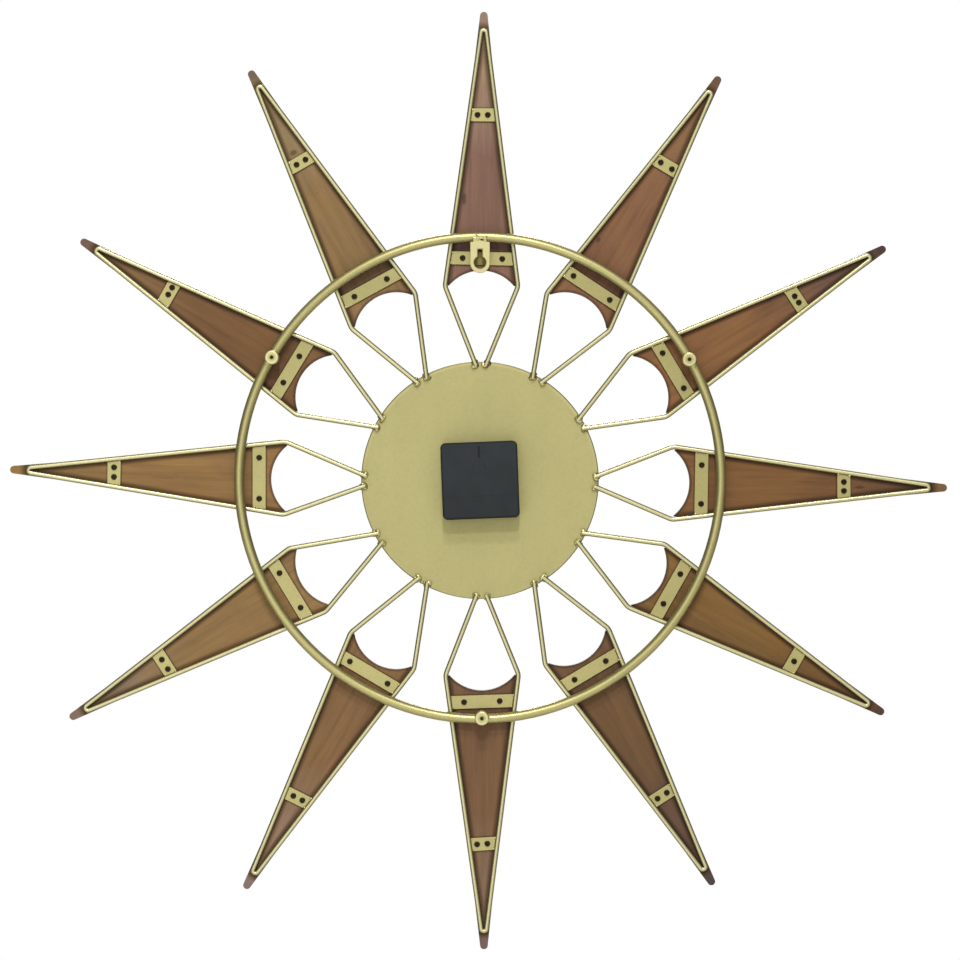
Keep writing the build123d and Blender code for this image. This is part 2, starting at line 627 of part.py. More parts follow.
finish(movement_rear_cover.part, "movement_rear_cover")

with BuildPart() as battery_door:
    with BuildSketch(case_plane(CASE_REAR_Y - DOOR_THICKNESS)):
        with Locations((0, DOOR_CENTRE)):
            RectangleRounded(DOOR_LENGTH, DOOR_WIDTH, DOOR_CORNER)
    extrude(amount=DOOR_THICKNESS)
finish(battery_door.part, "battery_door")

with BuildPart() as rubber_washer:
    with BuildSketch(rear_plane(BACK_Y)):
        Circle(WASHER_RADIUS)
        Circle(DIAL_HOLE_RADIUS, mode=Mode.SUBTRACT)
    extrude(amount=WASHER_THICKNESS)
finish(rubber_washer.part, "rubber_washer")

with BuildPart() as dial_bushing:
    with BuildSketch(rear_plane(BUSHING_FRONT_Y)):
        Circle(BUSHING_RADIUS)
        Circle(BUSHING_BORE_RADIUS, mode=Mode.SUBTRACT)
    extrude(amount=FLOOR_Y - BUSHING_FRONT_Y)
    front_rims = dial_bushing.edges().filter_by(GeomType.CIRCLE).sort_by(Axis.Y)[:2]
    chamfer(front_rims.sort_by(SortBy.RADIUS)[-1], BUSHING_CHAMFER)
finish(dial_bushing.part, "dial_bushing")

with BuildPart() as dial_nut:
    with BuildSketch(rear_plane(DISC_FRONT_Y)):
        RegularPolygon(NUT_ACROSS_FLATS / 2, 6, major_radius=False)
        Circle(BUSHING_RADIUS, mode=Mode.SUBTRACT)
    extrude(amount=-NUT_THICKNESS)
finish(dial_nut.part, "dial_nut")

# ---------------------------------------------------------------- battery, contacts and board


def end_plane(side):
    """Plane on a side wall of the battery bay, facing the cell, x up the case and y towards the wall."""
    base = case_plane(CELL_Y)
    origin = base.from_local_coords((side * INNER_HALF, 0, 0))
    inward = base.from_local_coords((0, 0, 0)) - base.from_local_coords((side, 0, 0))
    up = base.from_local_coords((0, 1, 0)) - base.from_local_coords((0, 0, 0))
    return Plane(origin=origin, x_dir=up, z_dir=inward)


with BuildPart() as battery_cell:
    cell_plane = end_plane(1).offset(INNER_HALF - CELL_FREE_END)
    with BuildSketch(cell_plane.offset(CELL_NUB)):
        with Locations((DOOR_CENTRE, 0)):
            Circle(CELL_RADIUS)
    extrude(amount=CELL_BODY)
    fillet(battery_cell.edges().filter_by(GeomType.CIRCLE), CELL_FILLET)
    with BuildSketch(cell_plane):
        with Locations((DOOR_CENTRE, 0)):
            Circle(CELL_NUB_RADIUS)
    extrude(amount=CELL_NUB)
finish(battery_cell.part, "battery_cell")


def make_contact(name, side):
    """Flat contact on a bay wall, with a tail up the case to the circuit board."""
    plane = end_plane(side)
    with BuildPart() as contact:
        with BuildSketch(plane):
            with Locations((DOOR_CENTRE, 0)):
                Rectangle(2 * CONTACT_HALF_HEIGHT, 2 * CONTACT_HALF_WIDTH)
            with Locations(((DOOR_CENTRE + TAIL_END) / 2, 0)):
                Rectangle(TAIL_END - DOOR_CENTRE, 2 * TAIL_HALF_WIDTH)
        extrude(amount=CONTACT_THICKNESS)
        if side > 0:
            with BuildSketch(plane.offset(CONTACT_THICKNESS)):
                with Locations((DOOR_CENTRE, 0)):
                    Circle(CONTACT_PIP_RADIUS)
            extrude(amount=INNER_HALF - CELL_FREE_END - CONTACT_THICKNESS)
        else:
            leaf_plane = Plane(
                origin=plane.from_local_coords((DOOR_CENTRE, 0, CONTACT_THICKNESS)),
                x_dir=plane.x_dir,
                z_dir=-plane.y_dir,
            )
            half = CONTACT_HALF_HEIGHT
            inner = half - LEAF_FOOT
            with BuildSketch(leaf_plane):
                with BuildLine():
                    ThreePointArc((-half, 0), (0, LEAF_BOW), (half, 0))
                    Line((half, 0), (inner, 0))
                    ThreePointArc((inner, 0), (0, LEAF_BOW - CONTACT_THICKNESS), (-inner, 0))
                    Line((-inner, 0), (-half, 0))
                make_face()
            extrude(amount=TAIL_HALF_WIDTH, both=True)
    finish(contact.part, name)


make_contact("battery_contact_positive", 1)
make_contact("battery_contact_negative", -1)

with BuildPart() as circuit_board:
    with BuildSketch(case_plane(BOARD_Y)):
        with Locations((0, BOARD_CENTRE)):
            RectangleRounded(2 * (INNER_HALF - CONTACT_THICKNESS), BOARD_HIGH - BOARD_LOW, INNER_CORNER)
    extrude(amount=BOARD_THICKNESS)
    with BuildSketch(case_plane(BOARD_Y + BOARD_THICKNESS)):
        with Locations((-BOARD_PART_OFFSET, BOARD_CENTRE)):
            Circle(CHIP_RADIUS)
    extrude(amount=CHIP_HEIGHT, taper=CHIP_TAPER)
finish(circuit_board.part, "circuit_board")

with BuildPart() as quartz_crystal:
    crystal_base = case_plane(BOARD_Y + BOARD_THICKNESS + CRYSTAL_RADIUS)
    crystal_origin = crystal_base.from_local_coords((BOARD_PART_OFFSET, BOARD_CENTRE, 0))
    with BuildSketch(Plane(origin=crystal_origin, z_dir=crystal_base.x_dir)):
        Circle(CRYSTAL_RADIUS)
    extrude(amount=CRYSTAL_LENGTH)
    fillet(quartz_crystal.edges().filter_by(GeomType.CIRCLE), CRYSTAL_FILLET)
finish(quartz_crystal.part, "quartz_crystal")

# ---------------------------------------------------------------- coil and stator

CORE_Y = STATOR_Y - STATOR_THICKNESS
ARM_HIGH = COIL_HIGH + COIL_PLAY
ARM_LOW = COIL_LOW - COIL_PLAY

with BuildPart() as stator:
    with BuildSketch(case_plane(STATOR_Y)):
        Polygon(
            (CORE_CENTRE - STATOR_ARM / 2, ARM_HIGH + STATOR_ARM),
            (CORE_CENTRE - STATOR_ARM / 2, ARM_HIGH),
            (STRIP_LEFT, ARM_HIGH),
            (STRIP_LEFT, ARM_LOW),
            (CORE_CENTRE - STATOR_ARM / 2, ARM_LOW),
            (CORE_CENTRE - STATOR_ARM / 2, ARM_LOW - STATOR_ARM),
            (STRIP_RIGHT, ARM_LOW - STATOR_ARM),
            (STRIP_RIGHT, ARM_HIGH),
            (STATOR_RIGHT, ARM_HIGH),
            (STATOR_RIGHT, ARM_HIGH + STATOR_ARM),
            align=None,
        )
        with Locations(ROTOR):
            Circle(STATOR_HOLE_RADIUS, mode=Mode.SUBTRACT)
        with Locations(INTERMEDIATE):
            Circle(2 * FINE_ARBOR_RADIUS, mode=Mode.SUBTRACT)
        with Locations(*STATOR_POSTS):
            Circle(POST_SHOULDER_RADIUS, mode=Mode.SUBTRACT)
    extrude(amount=STATOR_THICKNESS)
    with BuildSketch(case_plane(CORE_Y)):
        with Locations((CORE_CENTRE, (ARM_HIGH + ARM_LOW) / 2)):
            Rectangle(STATOR_ARM, ARM_HIGH - ARM_LOW + 2 * STATOR_ARM)
    extrude(amount=STATOR_THICKNESS)
finish(stator.part, "stator")


def coil_plane(height):
    """Plane across the coil's length at a height up the case."""
    base = case_plane(CORE_Y + STATOR_THICKNESS / 2)
    origin = base.from_local_coords((CORE_CENTRE, height, 0))
    return Plane(origin=origin, x_dir=base.x_dir, z_dir=base.y_dir)


with BuildPart() as coil:
    with BuildSketch(coil_plane(COIL_LOW)):
        Circle(COIL_RADIUS)
    extrude(amount=COIL_HIGH - COIL_LOW)
    with BuildSketch(coil_plane(COIL_LOW + BOBBIN_WALL)):
        Circle(COIL_RADIUS)
        Circle(COIL_RADIUS - BOBBIN_WALL, mode=Mode.SUBTRACT)
    extrude(amount=COIL_HIGH - COIL_LOW - 2 * BOBBIN_WALL, mode=Mode.SUBTRACT)
    with BuildSketch(coil_plane(COIL_LOW)):
        Rectangle(STATOR_ARM, STATOR_THICKNESS)
    extrude(amount=COIL_HIGH - COIL_LOW, mode=Mode.SUBTRACT)
finish(coil.part, "coil")

# ---------------------------------------------------------------- gear train


def gear_outline(teeth, module, phase):
    """Corner points of a gear with straight-sided teeth, the first tooth centred on the phase angle."""
    pitch_radius = teeth * module / 2
    root_radius = pitch_radius - DEDENDUM * module
    tip_radius = pitch_radius + ADDENDUM * module
    half_tooth = TOOTH_FILL * 90 / teeth
    root_turn = half_tooth * TOOTH_ROOT_SHARE
    tip_turn = half_tooth * TOOTH_TIP_SHARE
    points = []
    for tooth in range(teeth):
        middle = phase + 360 * tooth / teeth
        points.append(polar(root_radius, middle - root_turn))
        points.append(polar(tip_radius, middle - tip_turn))
        points.append(polar(tip_radius, middle + tip_turn))
        points.append(polar(root_radius, middle + root_turn))
    return points


def bearing(start, end):
    """Direction from one arbor to another, counter-clockwise from the right in the rear view."""
    return math.degrees(math.atan2(end[1] - start[1], end[0] - start[0]))


def gap_phase(start, end, teeth):
    """Phase that puts a tooth gap of the gear at start on the line towards end."""
    return bearing(start, end) + 180 / teeth


SPAN_ROTOR = ROTOR_TEETH + INTERMEDIATE_TEETH
SPAN_INTERMEDIATE = INTERMEDIATE_PINION_TEETH + SECOND_TEETH
SPAN_THIRD = SECOND_PINION_TEETH + THIRD_TEETH
SPAN_CENTRE = THIRD_PINION_TEETH + CENTRE_TEETH
SPAN_WORK = CANNON_TEETH + MINUTE_WORK_TEETH
SPAN_HOUR = MINUTE_WORK_PINION_TEETH + HOUR_TEETH
MODULE_ROTOR = 2 * ROTOR_DISTANCE / SPAN_ROTOR
MODULE_INTERMEDIATE = 2 * INTERMEDIATE_DISTANCE / SPAN_INTERMEDIATE
MODULE_THIRD = 2 * THIRD_DISTANCE / SPAN_THIRD
MODULE_CENTRE = 2 * THIRD_DISTANCE / SPAN_CENTRE
MODULE_WORK = 2 * MINUTE_WORK_DISTANCE / SPAN_WORK
MODULE_HOUR = 2 * MINUTE_WORK_DISTANCE / SPAN_HOUR


def gear_layer(place, depth, thickness, outline):
    """Adds one toothed layer to the part being built."""
    with BuildSketch(case_plane(depth)) as layer:
        with Locations(place):
            Polygon(*outline, align=None)
    extrude(layer.sketch, amount=thickness)


PINION_LEAD = (PINION_THICKNESS - WHEEL_THICKNESS) / 2

with BuildPart() as rotor_pinion:
    outline = gear_outline(ROTOR_TEETH, MODULE_ROTOR, bearing(ROTOR, INTERMEDIATE))
    gear_layer(ROTOR, INTERMEDIATE_WHEEL_Y - PINION_LEAD, PINION_THICKNESS, outline)
    round_layer(ROTOR, PIVOT_FRONT_Y, ARBOR_REAR_Y - PIVOT_FRONT_Y, FINE_ARBOR_RADIUS)
    round_layer(ROTOR, HUB_FRONT_Y, MAGNET_Y + MAGNET_LENGTH - HUB_FRONT_Y, MAGNET_BORE_RADIUS)
finish(rotor_pinion.part, "rotor_pinion")

with BuildPart() as rotor_magnet:
    round_layer(ROTOR, MAGNET_Y, MAGNET_LENGTH, MAGNET_RADIUS)
    round_layer(ROTOR, MAGNET_Y, MAGNET_LENGTH, MAGNET_BORE_RADIUS, Mode.SUBTRACT)
finish(rotor_magnet.part, "rotor_magnet")

with BuildPart() as intermediate_wheel:
    outline = gear_outline(
        INTERMEDIATE_TEETH, MODULE_ROTOR, gap_phase(INTERMEDIATE, ROTOR, INTERMEDIATE_TEETH)
    )
    gear_layer(INTERMEDIATE, INTERMEDIATE_WHEEL_Y, WHEEL_THICKNESS, outline)
    outline = gear_outline(
        INTERMEDIATE_PINION_TEETH, MODULE_INTERMEDIATE, bearing(INTERMEDIATE, SPINDLE)
    )
    pinion_length = INTERMEDIATE_WHEEL_Y - SECOND_WHEEL_Y + PINION_LEAD
    gear_layer(INTERMEDIATE, SECOND_WHEEL_Y - PINION_LEAD, pinion_length, outline)
    round_layer(INTERMEDIATE, PIVOT_FRONT_Y, ARBOR_REAR_Y - PIVOT_FRONT_Y, FINE_ARBOR_RADIUS)
finish(intermediate_wheel.part, "intermediate_wheel")

with BuildPart() as second_wheel:
    outline = gear_outline(
        SECOND_TEETH, MODULE_INTERMEDIATE, gap_phase(SPINDLE, INTERMEDIATE, SECOND_TEETH)
    )
    gear_layer(SPINDLE, SECOND_WHEEL_Y, WHEEL_THICKNESS, outline)
    outline = gear_outline(SECOND_PINION_TEETH, MODULE_THIRD, bearing(SPINDLE, THIRD))
    pinion_length = SECOND_WHEEL_Y - THIRD_WHEEL_Y + PINION_LEAD
    gear_layer(SPINDLE, THIRD_WHEEL_Y - PINION_LEAD, pinion_length, outline)
    arbor_front = SECOND_HUB_Y + SECOND_HUB_CAP
    round_layer(SPINDLE, arbor_front, ARBOR_REAR_Y - arbor_front, SECOND_ARBOR_RADIUS)
finish(second_wheel.part, "second_wheel")

with BuildPart() as third_wheel:
    outline = gear_outline(THIRD_TEETH, MODULE_THIRD, gap_phase(THIRD, SPINDLE, THIRD_TEETH))
    gear_layer(THIRD, THIRD_WHEEL_Y, WHEEL_THICKNESS, outline)
    outline = gear_outline(THIRD_PINION_TEETH, MODULE_CENTRE, bearing(THIRD, SPINDLE))
    pinion_length = THIRD_WHEEL_Y - CENTRE_WHEEL_Y + PINION_LEAD
    gear_layer(THIRD, CENTRE_WHEEL_Y - PINION_LEAD, pinion_length, outline)
    round_layer(THIRD, PIVOT_FRONT_Y, ARBOR_REAR_Y - PIVOT_FRONT_Y, FINE_ARBOR_RADIUS)
finish(third_wheel.part, "third_wheel")

with BuildPart() as centre_wheel:
    outline = gear_outline(CENTRE_TEETH, MODULE_CENTRE, gap_phase(SPINDLE, THIRD, CENTRE_TEETH))
    gear_layer(SPINDLE, CENTRE_WHEEL_Y, WHEEL_THICKNESS, outline)
    round_layer(SPINDLE, CENTRE_WHEEL_Y, WHEEL_THICKNESS, CANNON_RADIUS + PIVOT_PLAY, Mode.SUBTRACT)
finish(centre_wheel.part, "centre_wheel")

with BuildPart() as cannon_pinion:
    outline = gear_outline(CANNON_TEETH, MODULE_WORK, bearing(SPINDLE, WORK))
    gear_layer(SPINDLE, MOTION_WHEEL_Y - PINION_LEAD, PINION_THICKNESS, outline)
    tube_length = CANNON_REAR_Y - CANNON_FRONT_Y
    round_layer(SPINDLE, CANNON_FRONT_Y, tube_length, CANNON_RADIUS)
    round_layer(SPINDLE, CANNON_FRONT_Y, tube_length, CANNON_BORE_RADIUS, Mode.SUBTRACT)
finish(cannon_pinion.part, "cannon_pinion")

with BuildPart() as minute_work_wheel:
    outline = gear_outline(MINUTE_WORK_TEETH, MODULE_WORK, gap_phase(WORK, SPINDLE, MINUTE_WORK_TEETH))
    gear_layer(WORK, MOTION_WHEEL_Y, WHEEL_THICKNESS, outline)
    outline = gear_outline(MINUTE_WORK_PINION_TEETH, MODULE_HOUR, bearing(WORK, SPINDLE))
    pinion_length = MOTION_WHEEL_Y - HOUR_WHEEL_Y + PINION_LEAD
    gear_layer(WORK, HOUR_WHEEL_Y - PINION_LEAD, pinion_length, outline)
    round_layer(WORK, PIVOT_FRONT_Y, WORK_REAR_Y - PIVOT_FRONT_Y, WORK_ARBOR_RADIUS)
finish(minute_work_wheel.part, "minute_work_wheel")

with BuildPart() as hour_wheel:
    outline = gear_outline(HOUR_TEETH, MODULE_HOUR, gap_phase(SPINDLE, WORK, HOUR_TEETH))
    gear_layer(SPINDLE, HOUR_WHEEL_Y, WHEEL_THICKNESS, outline)
    tube_length = HOUR_WHEEL_Y + WHEEL_THICKNESS - HOUR_TUBE_FRONT_Y
    round_layer(SPINDLE, HOUR_TUBE_FRONT_Y, tube_length, HOUR_TUBE_RADIUS)
    round_layer(SPINDLE, HOUR_TUBE_FRONT_Y, tube_length, HOUR_TUBE_BORE_RADIUS, Mode.SUBTRACT)
finish(hour_wheel.part, "hour_wheel")

with BuildPart() as setting_knob:
    round_layer(WORK, KNOB_FRONT_Y, CASE_REAR_Y - KNOB_FRONT_Y, KNOB_RADIUS)
    round_layer(WORK, KNOB_FRONT_Y, WORK_REAR_Y - KNOB_FRONT_Y, WORK_ARBOR_RADIUS, Mode.SUBTRACT)
finish(setting_knob.part, "setting_knob")

with BuildPart() as gear_bridge:
    with BuildSketch(case_plane(BRIDGE_Y)):
        Polygon(*BRIDGE_OUTLINE, align=None)
        with Locations(SPINDLE):
            Circle(SECOND_ARBOR_RADIUS + PIVOT_PLAY, mode=Mode.SUBTRACT)
        with Locations(THIRD, INTERMEDIATE, ROTOR):
            Circle(FINE_ARBOR_RADIUS + PIVOT_PLAY, mode=Mode.SUBTRACT)
        with Locations(WORK):
            Circle(WORK_ARBOR_RADIUS + PIVOT_PLAY, mode=Mode.SUBTRACT)
        with Locations(*BRIDGE_POSTS, *STATOR_POSTS):
            Circle(POST_PIN_RADIUS, mode=Mode.SUBTRACT)
    extrude(amount=BRIDGE_THICKNESS)
finish(gear_bridge.part, "gear_bridge")

# ---------------------------------------------------------------- hands

HOUR_ANGLE = 30 * REST_HOUR + REST_MINUTE / 2 + REST_SECOND / 120
MINUTE_ANGLE = 6 * REST_MINUTE + REST_SECOND / 10
SECOND_ANGLE = 6 * REST_SECOND


def blade(length, tail, half_width, tip_half_width):
    """Corner points of a pointed hand that is widest a third of the way out."""
    belly = length / 3
    return [
        (-tip_half_width, -tail),
        (tip_half_width, -tail),
        (half_width, belly),
        (tip_half_width / 2, length),
        (-tip_half_width / 2, length),
        (-half_width, belly),
    ]


def make_hand(name, hub_y, angle, outline, hub_radius, bore_radius):
    """Flat hand with a collar, seen from the front pointing clockwise from twelve."""
    with BuildPart() as hand:
        with BuildSketch(rear_plane(hub_y + (HUB_LENGTH - BLADE_THICKNESS) / 2, angle)):
            Polygon(*outline, align=None)
        extrude(amount=BLADE_THICKNESS)
        with BuildSketch(rear_plane(hub_y, angle)):
            Circle(hub_radius)
        extrude(amount=HUB_LENGTH)
        with BuildSketch(rear_plane(hub_y, angle)):
            Circle(bore_radius)
        extrude(amount=HUB_LENGTH, mode=Mode.SUBTRACT)
    finish(hand.part, name)


hour_outline = blade(HOUR_LENGTH, HOUR_TAIL, HOUR_HALF_WIDTH, HOUR_END_HALF_WIDTH)
minute_outline = blade(MINUTE_LENGTH, MINUTE_TAIL, MINUTE_HALF_WIDTH, MINUTE_END_HALF_WIDTH)
make_hand("hour_hand", HOUR_HUB_Y, HOUR_ANGLE, hour_outline, HOUR_HUB_RADIUS, HOUR_TUBE_RADIUS)
make_hand("minute_hand", MINUTE_HUB_Y, MINUTE_ANGLE, minute_outline, MINUTE_HUB_RADIUS, CANNON_RADIUS)

with BuildPart() as minute_hand_nut:
    with BuildSketch(rear_plane(MINUTE_NUT_Y)):
        Circle(MINUTE_NUT_RADIUS)
        Circle(CANNON_RADIUS, mode=Mode.SUBTRACT)
    extrude(amount=MINUTE_NUT_THICKNESS)
    front_rims = minute_hand_nut.edges().filter_by(GeomType.CIRCLE).sort_by(Axis.Y)[:2]
    chamfer(front_rims.sort_by(SortBy.RADIUS)[-1], MINUTE_NUT_CHAMFER)
finish(minute_hand_nut.part, "minute_hand_nut")

with BuildPart() as second_hand:
    with BuildSketch(rear_plane(SECOND_HUB_Y + (HUB_LENGTH - SECOND_THICKNESS) / 2, SECOND_ANGLE)):
        with Locations((0, (SECOND_LENGTH - SECOND_TAIL) / 2)):
            Rectangle(2 * SECOND_HALF_WIDTH, SECOND_LENGTH + SECOND_TAIL)
        with Locations((0, -SECOND_TAIL)):
            Circle(COUNTERWEIGHT_RADIUS)
    extrude(amount=SECOND_THICKNESS)
    with BuildSketch(rear_plane(SECOND_HUB_Y, SECOND_ANGLE)):
        Circle(SECOND_HUB_RADIUS)
    extrude(amount=HUB_LENGTH)
    with BuildSketch(rear_plane(SECOND_HUB_Y + SECOND_HUB_CAP, SECOND_ANGLE)):
        Circle(SECOND_ARBOR_RADIUS)
    extrude(amount=HUB_LENGTH, mode=Mode.SUBTRACT)
finish(second_hand.part, "second_hand")
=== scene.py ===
import bpy
import bmesh
import math
import random
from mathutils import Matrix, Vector


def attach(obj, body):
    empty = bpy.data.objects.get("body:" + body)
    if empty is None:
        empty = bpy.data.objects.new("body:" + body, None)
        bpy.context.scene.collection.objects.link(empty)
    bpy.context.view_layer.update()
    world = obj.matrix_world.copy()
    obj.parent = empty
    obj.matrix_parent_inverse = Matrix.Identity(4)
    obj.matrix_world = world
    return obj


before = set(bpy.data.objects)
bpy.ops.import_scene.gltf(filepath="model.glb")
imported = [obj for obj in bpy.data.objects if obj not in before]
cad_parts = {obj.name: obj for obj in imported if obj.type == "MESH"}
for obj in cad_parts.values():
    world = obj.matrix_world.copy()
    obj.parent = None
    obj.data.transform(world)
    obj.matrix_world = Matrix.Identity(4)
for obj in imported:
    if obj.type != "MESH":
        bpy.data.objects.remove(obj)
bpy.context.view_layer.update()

# Sunburst wall clock seen from the back: looks of the CAD pieces, weld beads, dial bars, light and camera.
# The clock's axis is Y: the dial faces -Y and the wall side +Y. Names ending in _MM, and the lists and
# places of the rays, are in mm; the other lengths are in metres.
MM = 0.001
DIAL_DROP_MM = 1.8
DIAL_DROP = DIAL_DROP_MM * MM
DISC_RADIUS_MM = 87.0
DISC_RADIUS = DISC_RADIUS_MM * MM
DISC_FRONT_Y = -19.3 * MM
BACK_Y = -17.8 * MM
ROD_Y = -16.0 * MM
ROD_R_MM = 1.8
ROD_R = ROD_R_MM * MM
RING_Y = -10.6 * MM
RING_R = 176.0 * MM
RING_TUBE = 3.6 * MM
STRAP_TOP = -16.3 * MM

# The twelve rays, clockwise from 12 o'clock as seen from the wall: turn in degrees, then shifts in mm.
RAY_COUNT = 12
RAY_STEP = 30
RAY_SWING = [0.5, 1.0, -0.1, 1.0, 0.1, 0.2, -0.4, 0.0, -0.2, 1.8, 1.4, 0.9]
RAY_SHIFT = [0.6, -0.4, 1.3, 1.1, -0.5, -0.7, -1.1, -0.5, 0.2, -0.2, -0.2, -0.1]
RAY_REACH = [0.1, 0.7, -0.6, -0.9, -1.5, -1.0, 0.5, 2.0, 4.2, 1.3, -1.9, 1.0]
KNEE = (26.7, 54.8)
ROD_END = (3.5, -3.1)
ROD_MEETING = 255.5
ROD_SLOPE = KNEE[0] / (ROD_MEETING - KNEE[1])
OUTER_STRAP = 180.2
INNER_STRAP = 74.5
STRAP_HALF = 4.75
OUTER_SHIFT = [0.2, -0.3, 0.4, 0.1, -0.3, 0.4, -1.5, -1.0, -4.2, -0.5, 0.4, -1.0]
INNER_SHIFT = [0.8, 0.6, 1.7, 1.5, 1.4, 0.3, 0.0, -0.9, -5.0, -1.1, 0.6, -0.4]
NOTCH_SHIFT = [0.6, 0.8, 1.6, 1.4, 1.4, 0.5, 0.4, -0.4, -6.0, -1.2, 0.7, 0.1]
NOTCH_CENTRE = 35.15
NOTCH_RADIUS = 31.15
OUTER_TILT = [0, 0, 3, 1.5, 0, 3, 3.5, 3.5, 2.5, 1, 2, 1]
INNER_TILT = [-0.8, -2.5, 1, 0, 0.5, 1, 1.5, -0.5, 1.2, 1.8, 0, -0.5]
# Old stains on the back of a few slats: place across and out, half width and half height, in mm.
STAINS = {
    0: (-13.4, 119, 1.7, 4.5),
    1: (-14.4, 108, 1.5, 2.2),
    3: (0.7, 192, 1.2, 4.0),
    11: (-1.2, 188, 2.8, 2.0),
}

# Lugs, hanger plate and movement case.
LUG_CIRCLE = 175.0 * MM
LUG_ANGLES = [29.5, 149.95, 270.45]
LUG_RADIUS = 5.2 * MM
KEYHOLE = 157.0 * MM
KEYHOLE_RADIUS = 4.45 * MM
KEYHOLE_SLOT_HALF = 1.8 * MM
KEYHOLE_SLOT_TOP = 166.8 * MM
HANGER_HALF = 7.15 * MM
HANGER_ROUND = 156.5 * MM
CASE_REAR_Y = -1.2 * MM
CASE_HALF = 28.0 * MM
CASE_TURN = 2.2


# ---------------------------------------------------------------- small helpers

def srgb(r, g, b):
    """Linear colour from 8-bit sRGB values."""
    out = []
    for v in (r, g, b):
        c = v / 255
        out.append(c / 12.92 if c <= 0.04045 else ((c + 0.055) / 1.055) ** 2.4)
    return (*out, 1.0)


def ray_point(index, u, v, y):
    """World point of one ray: v outward from the disc's rim, u clockwise as seen from the wall, in mm."""
    angle = math.radians(index * RAY_STEP)
    turned = math.radians(index * RAY_STEP + RAY_SWING[index])
    reach = RAY_REACH[index]
    u = u + RAY_SHIFT[index]
    right = DISC_RADIUS_MM * math.sin(angle) + (reach + v) * math.sin(turned) + u * math.cos(turned)
    up = DISC_RADIUS_MM * math.cos(angle) + (reach + v) * math.cos(turned) - u * math.sin(turned)
    return Vector((-right * MM, y, up * MM - DIAL_DROP))


def strap_places(index):
    """Distance out from the rim and tilt of one ray's outer and inner strap."""
    return ((OUTER_STRAP + OUTER_SHIFT[index], OUTER_TILT[index]),
            (INNER_STRAP + INNER_SHIFT[index], INNER_TILT[index]))


class Nodes:
    """One node material around a Principled shader, with a short method for each kind of node."""

    def __init__(self, name):
        self.mat = bpy.data.materials.new(name)
        self.mat.use_nodes = True
        self.tree = self.mat.node_tree
        self.tree.nodes.clear()
        output = self.add("ShaderNodeOutputMaterial")
        self.bsdf = self.add("ShaderNodeBsdfPrincipled")
        self.link(self.bsdf.outputs[0], output.inputs["Surface"])

    def add(self, kind, **values):
        node = self.tree.nodes.new(kind)
        for key, value in values.items():
            setattr(node, key, value)
        return node

    def link(self, a, b):
        self.tree.links.new(a, b)

    def feed(self, value, socket):
        """Link a socket to another node's output, or set it to a constant."""
        if isinstance(value, bpy.types.NodeSocket):
            self.link(value, socket)
        else:
            socket.default_value = value

    def coords(self):
        return self.add("ShaderNodeTexCoord").outputs["Object"]

    def axes(self, vector):
        node = self.add("ShaderNodeSeparateXYZ")
        self.link(vector, node.inputs[0])
        return node.outputs[0], node.outputs[1], node.outputs[2]

    def mapping(self, vector, scale=(1, 1, 1), rotation=(0, 0, 0), location=(0, 0, 0)):
        node = self.add("ShaderNodeMapping")
        node.inputs["Scale"].default_value = scale
        node.inputs["Rotation"].default_value = rotation
        node.inputs["Location"].default_value = location
        self.link(vector, node.inputs["Vector"])
        return node.outputs[0]

    def noise(self, vector, scale, detail=3.0, rough=0.5, distortion=0.0):
        node = self.add("ShaderNodeTexNoise")
        node.inputs["Scale"].default_value = scale
        node.inputs["Detail"].default_value = detail
        node.inputs["Roughness"].default_value = rough
        node.inputs["Distortion"].default_value = distortion
        self.link(vector, node.inputs["Vector"])
        return node.outputs["Fac"]

    def ramp(self, fac, stops):
        node = self.add("ShaderNodeValToRGB")
        ramp = node.color_ramp
        while len(ramp.elements) > 1:
            ramp.elements.remove(ramp.elements[-1])
        ramp.elements[0].position = stops[0][0]
        ramp.elements[0].color = stops[0][1]
        for place, colour in stops[1:]:
            e = ramp.elements.new(place)
            e.color = colour
        self.link(fac, node.inputs["Fac"])
        return node.outputs["Color"]

    def grey(self, fac, lo, hi, a=0.3, b=0.7):
        """Grey that goes from lo at fac = a to hi at fac = b."""
        return self.ramp(fac, [(a, (lo, lo, lo, 1)), (b, (hi, hi, hi, 1))])

    def mix(self, fac, a, b, kind="MIX"):
        node = self.add("ShaderNodeMix", data_type="RGBA", blend_type=kind)
        self.feed(fac, node.inputs[0])
        self.feed(a, node.inputs[6])
        self.feed(b, node.inputs[7])
        return node.outputs[2]

    def multiply(self, fac, colour, by):
        """Colour multiplied by another one, to the degree that fac says."""
        return self.mix(fac, colour, by, "MULTIPLY")

    def math(self, op, a, b=0.0, clamp=False):
        node = self.add("ShaderNodeMath", operation=op)
        node.use_clamp = clamp
        self.feed(a, node.inputs[0])
        self.feed(b, node.inputs[1])
        return node.outputs[0]

    def share(self, value, start, span):
        """How far value lies past start, as a share of span, from 0 to 1."""
        return self.math("DIVIDE", self.math("SUBTRACT", value, start), span, clamp=True)

    def length(self, a, b):
        """Distance from its two components."""
        return self.math("SQRT", self.math("ADD", self.math("MULTIPLY", a, a), self.math("MULTIPLY", b, b)))

    def bump(self, height, strength, distance):
        node = self.add("ShaderNodeBump")
        node.inputs["Strength"].default_value = strength
        node.inputs["Distance"].default_value = distance
        self.link(height, node.inputs["Height"])
        return node.outputs[0]

    def set(self, **values):
        names = {"color": "Base Color", "rough": "Roughness", "metal": "Metallic", "normal": "Normal",
                 "spec": "Specular IOR Level"}
        for key, value in values.items():
            self.feed(value, self.bsdf.inputs[names[key]])


# ---------------------------------------------------------------- materials

WHITE = (1, 1, 1, 1)
GOLD_METAL = 0.72


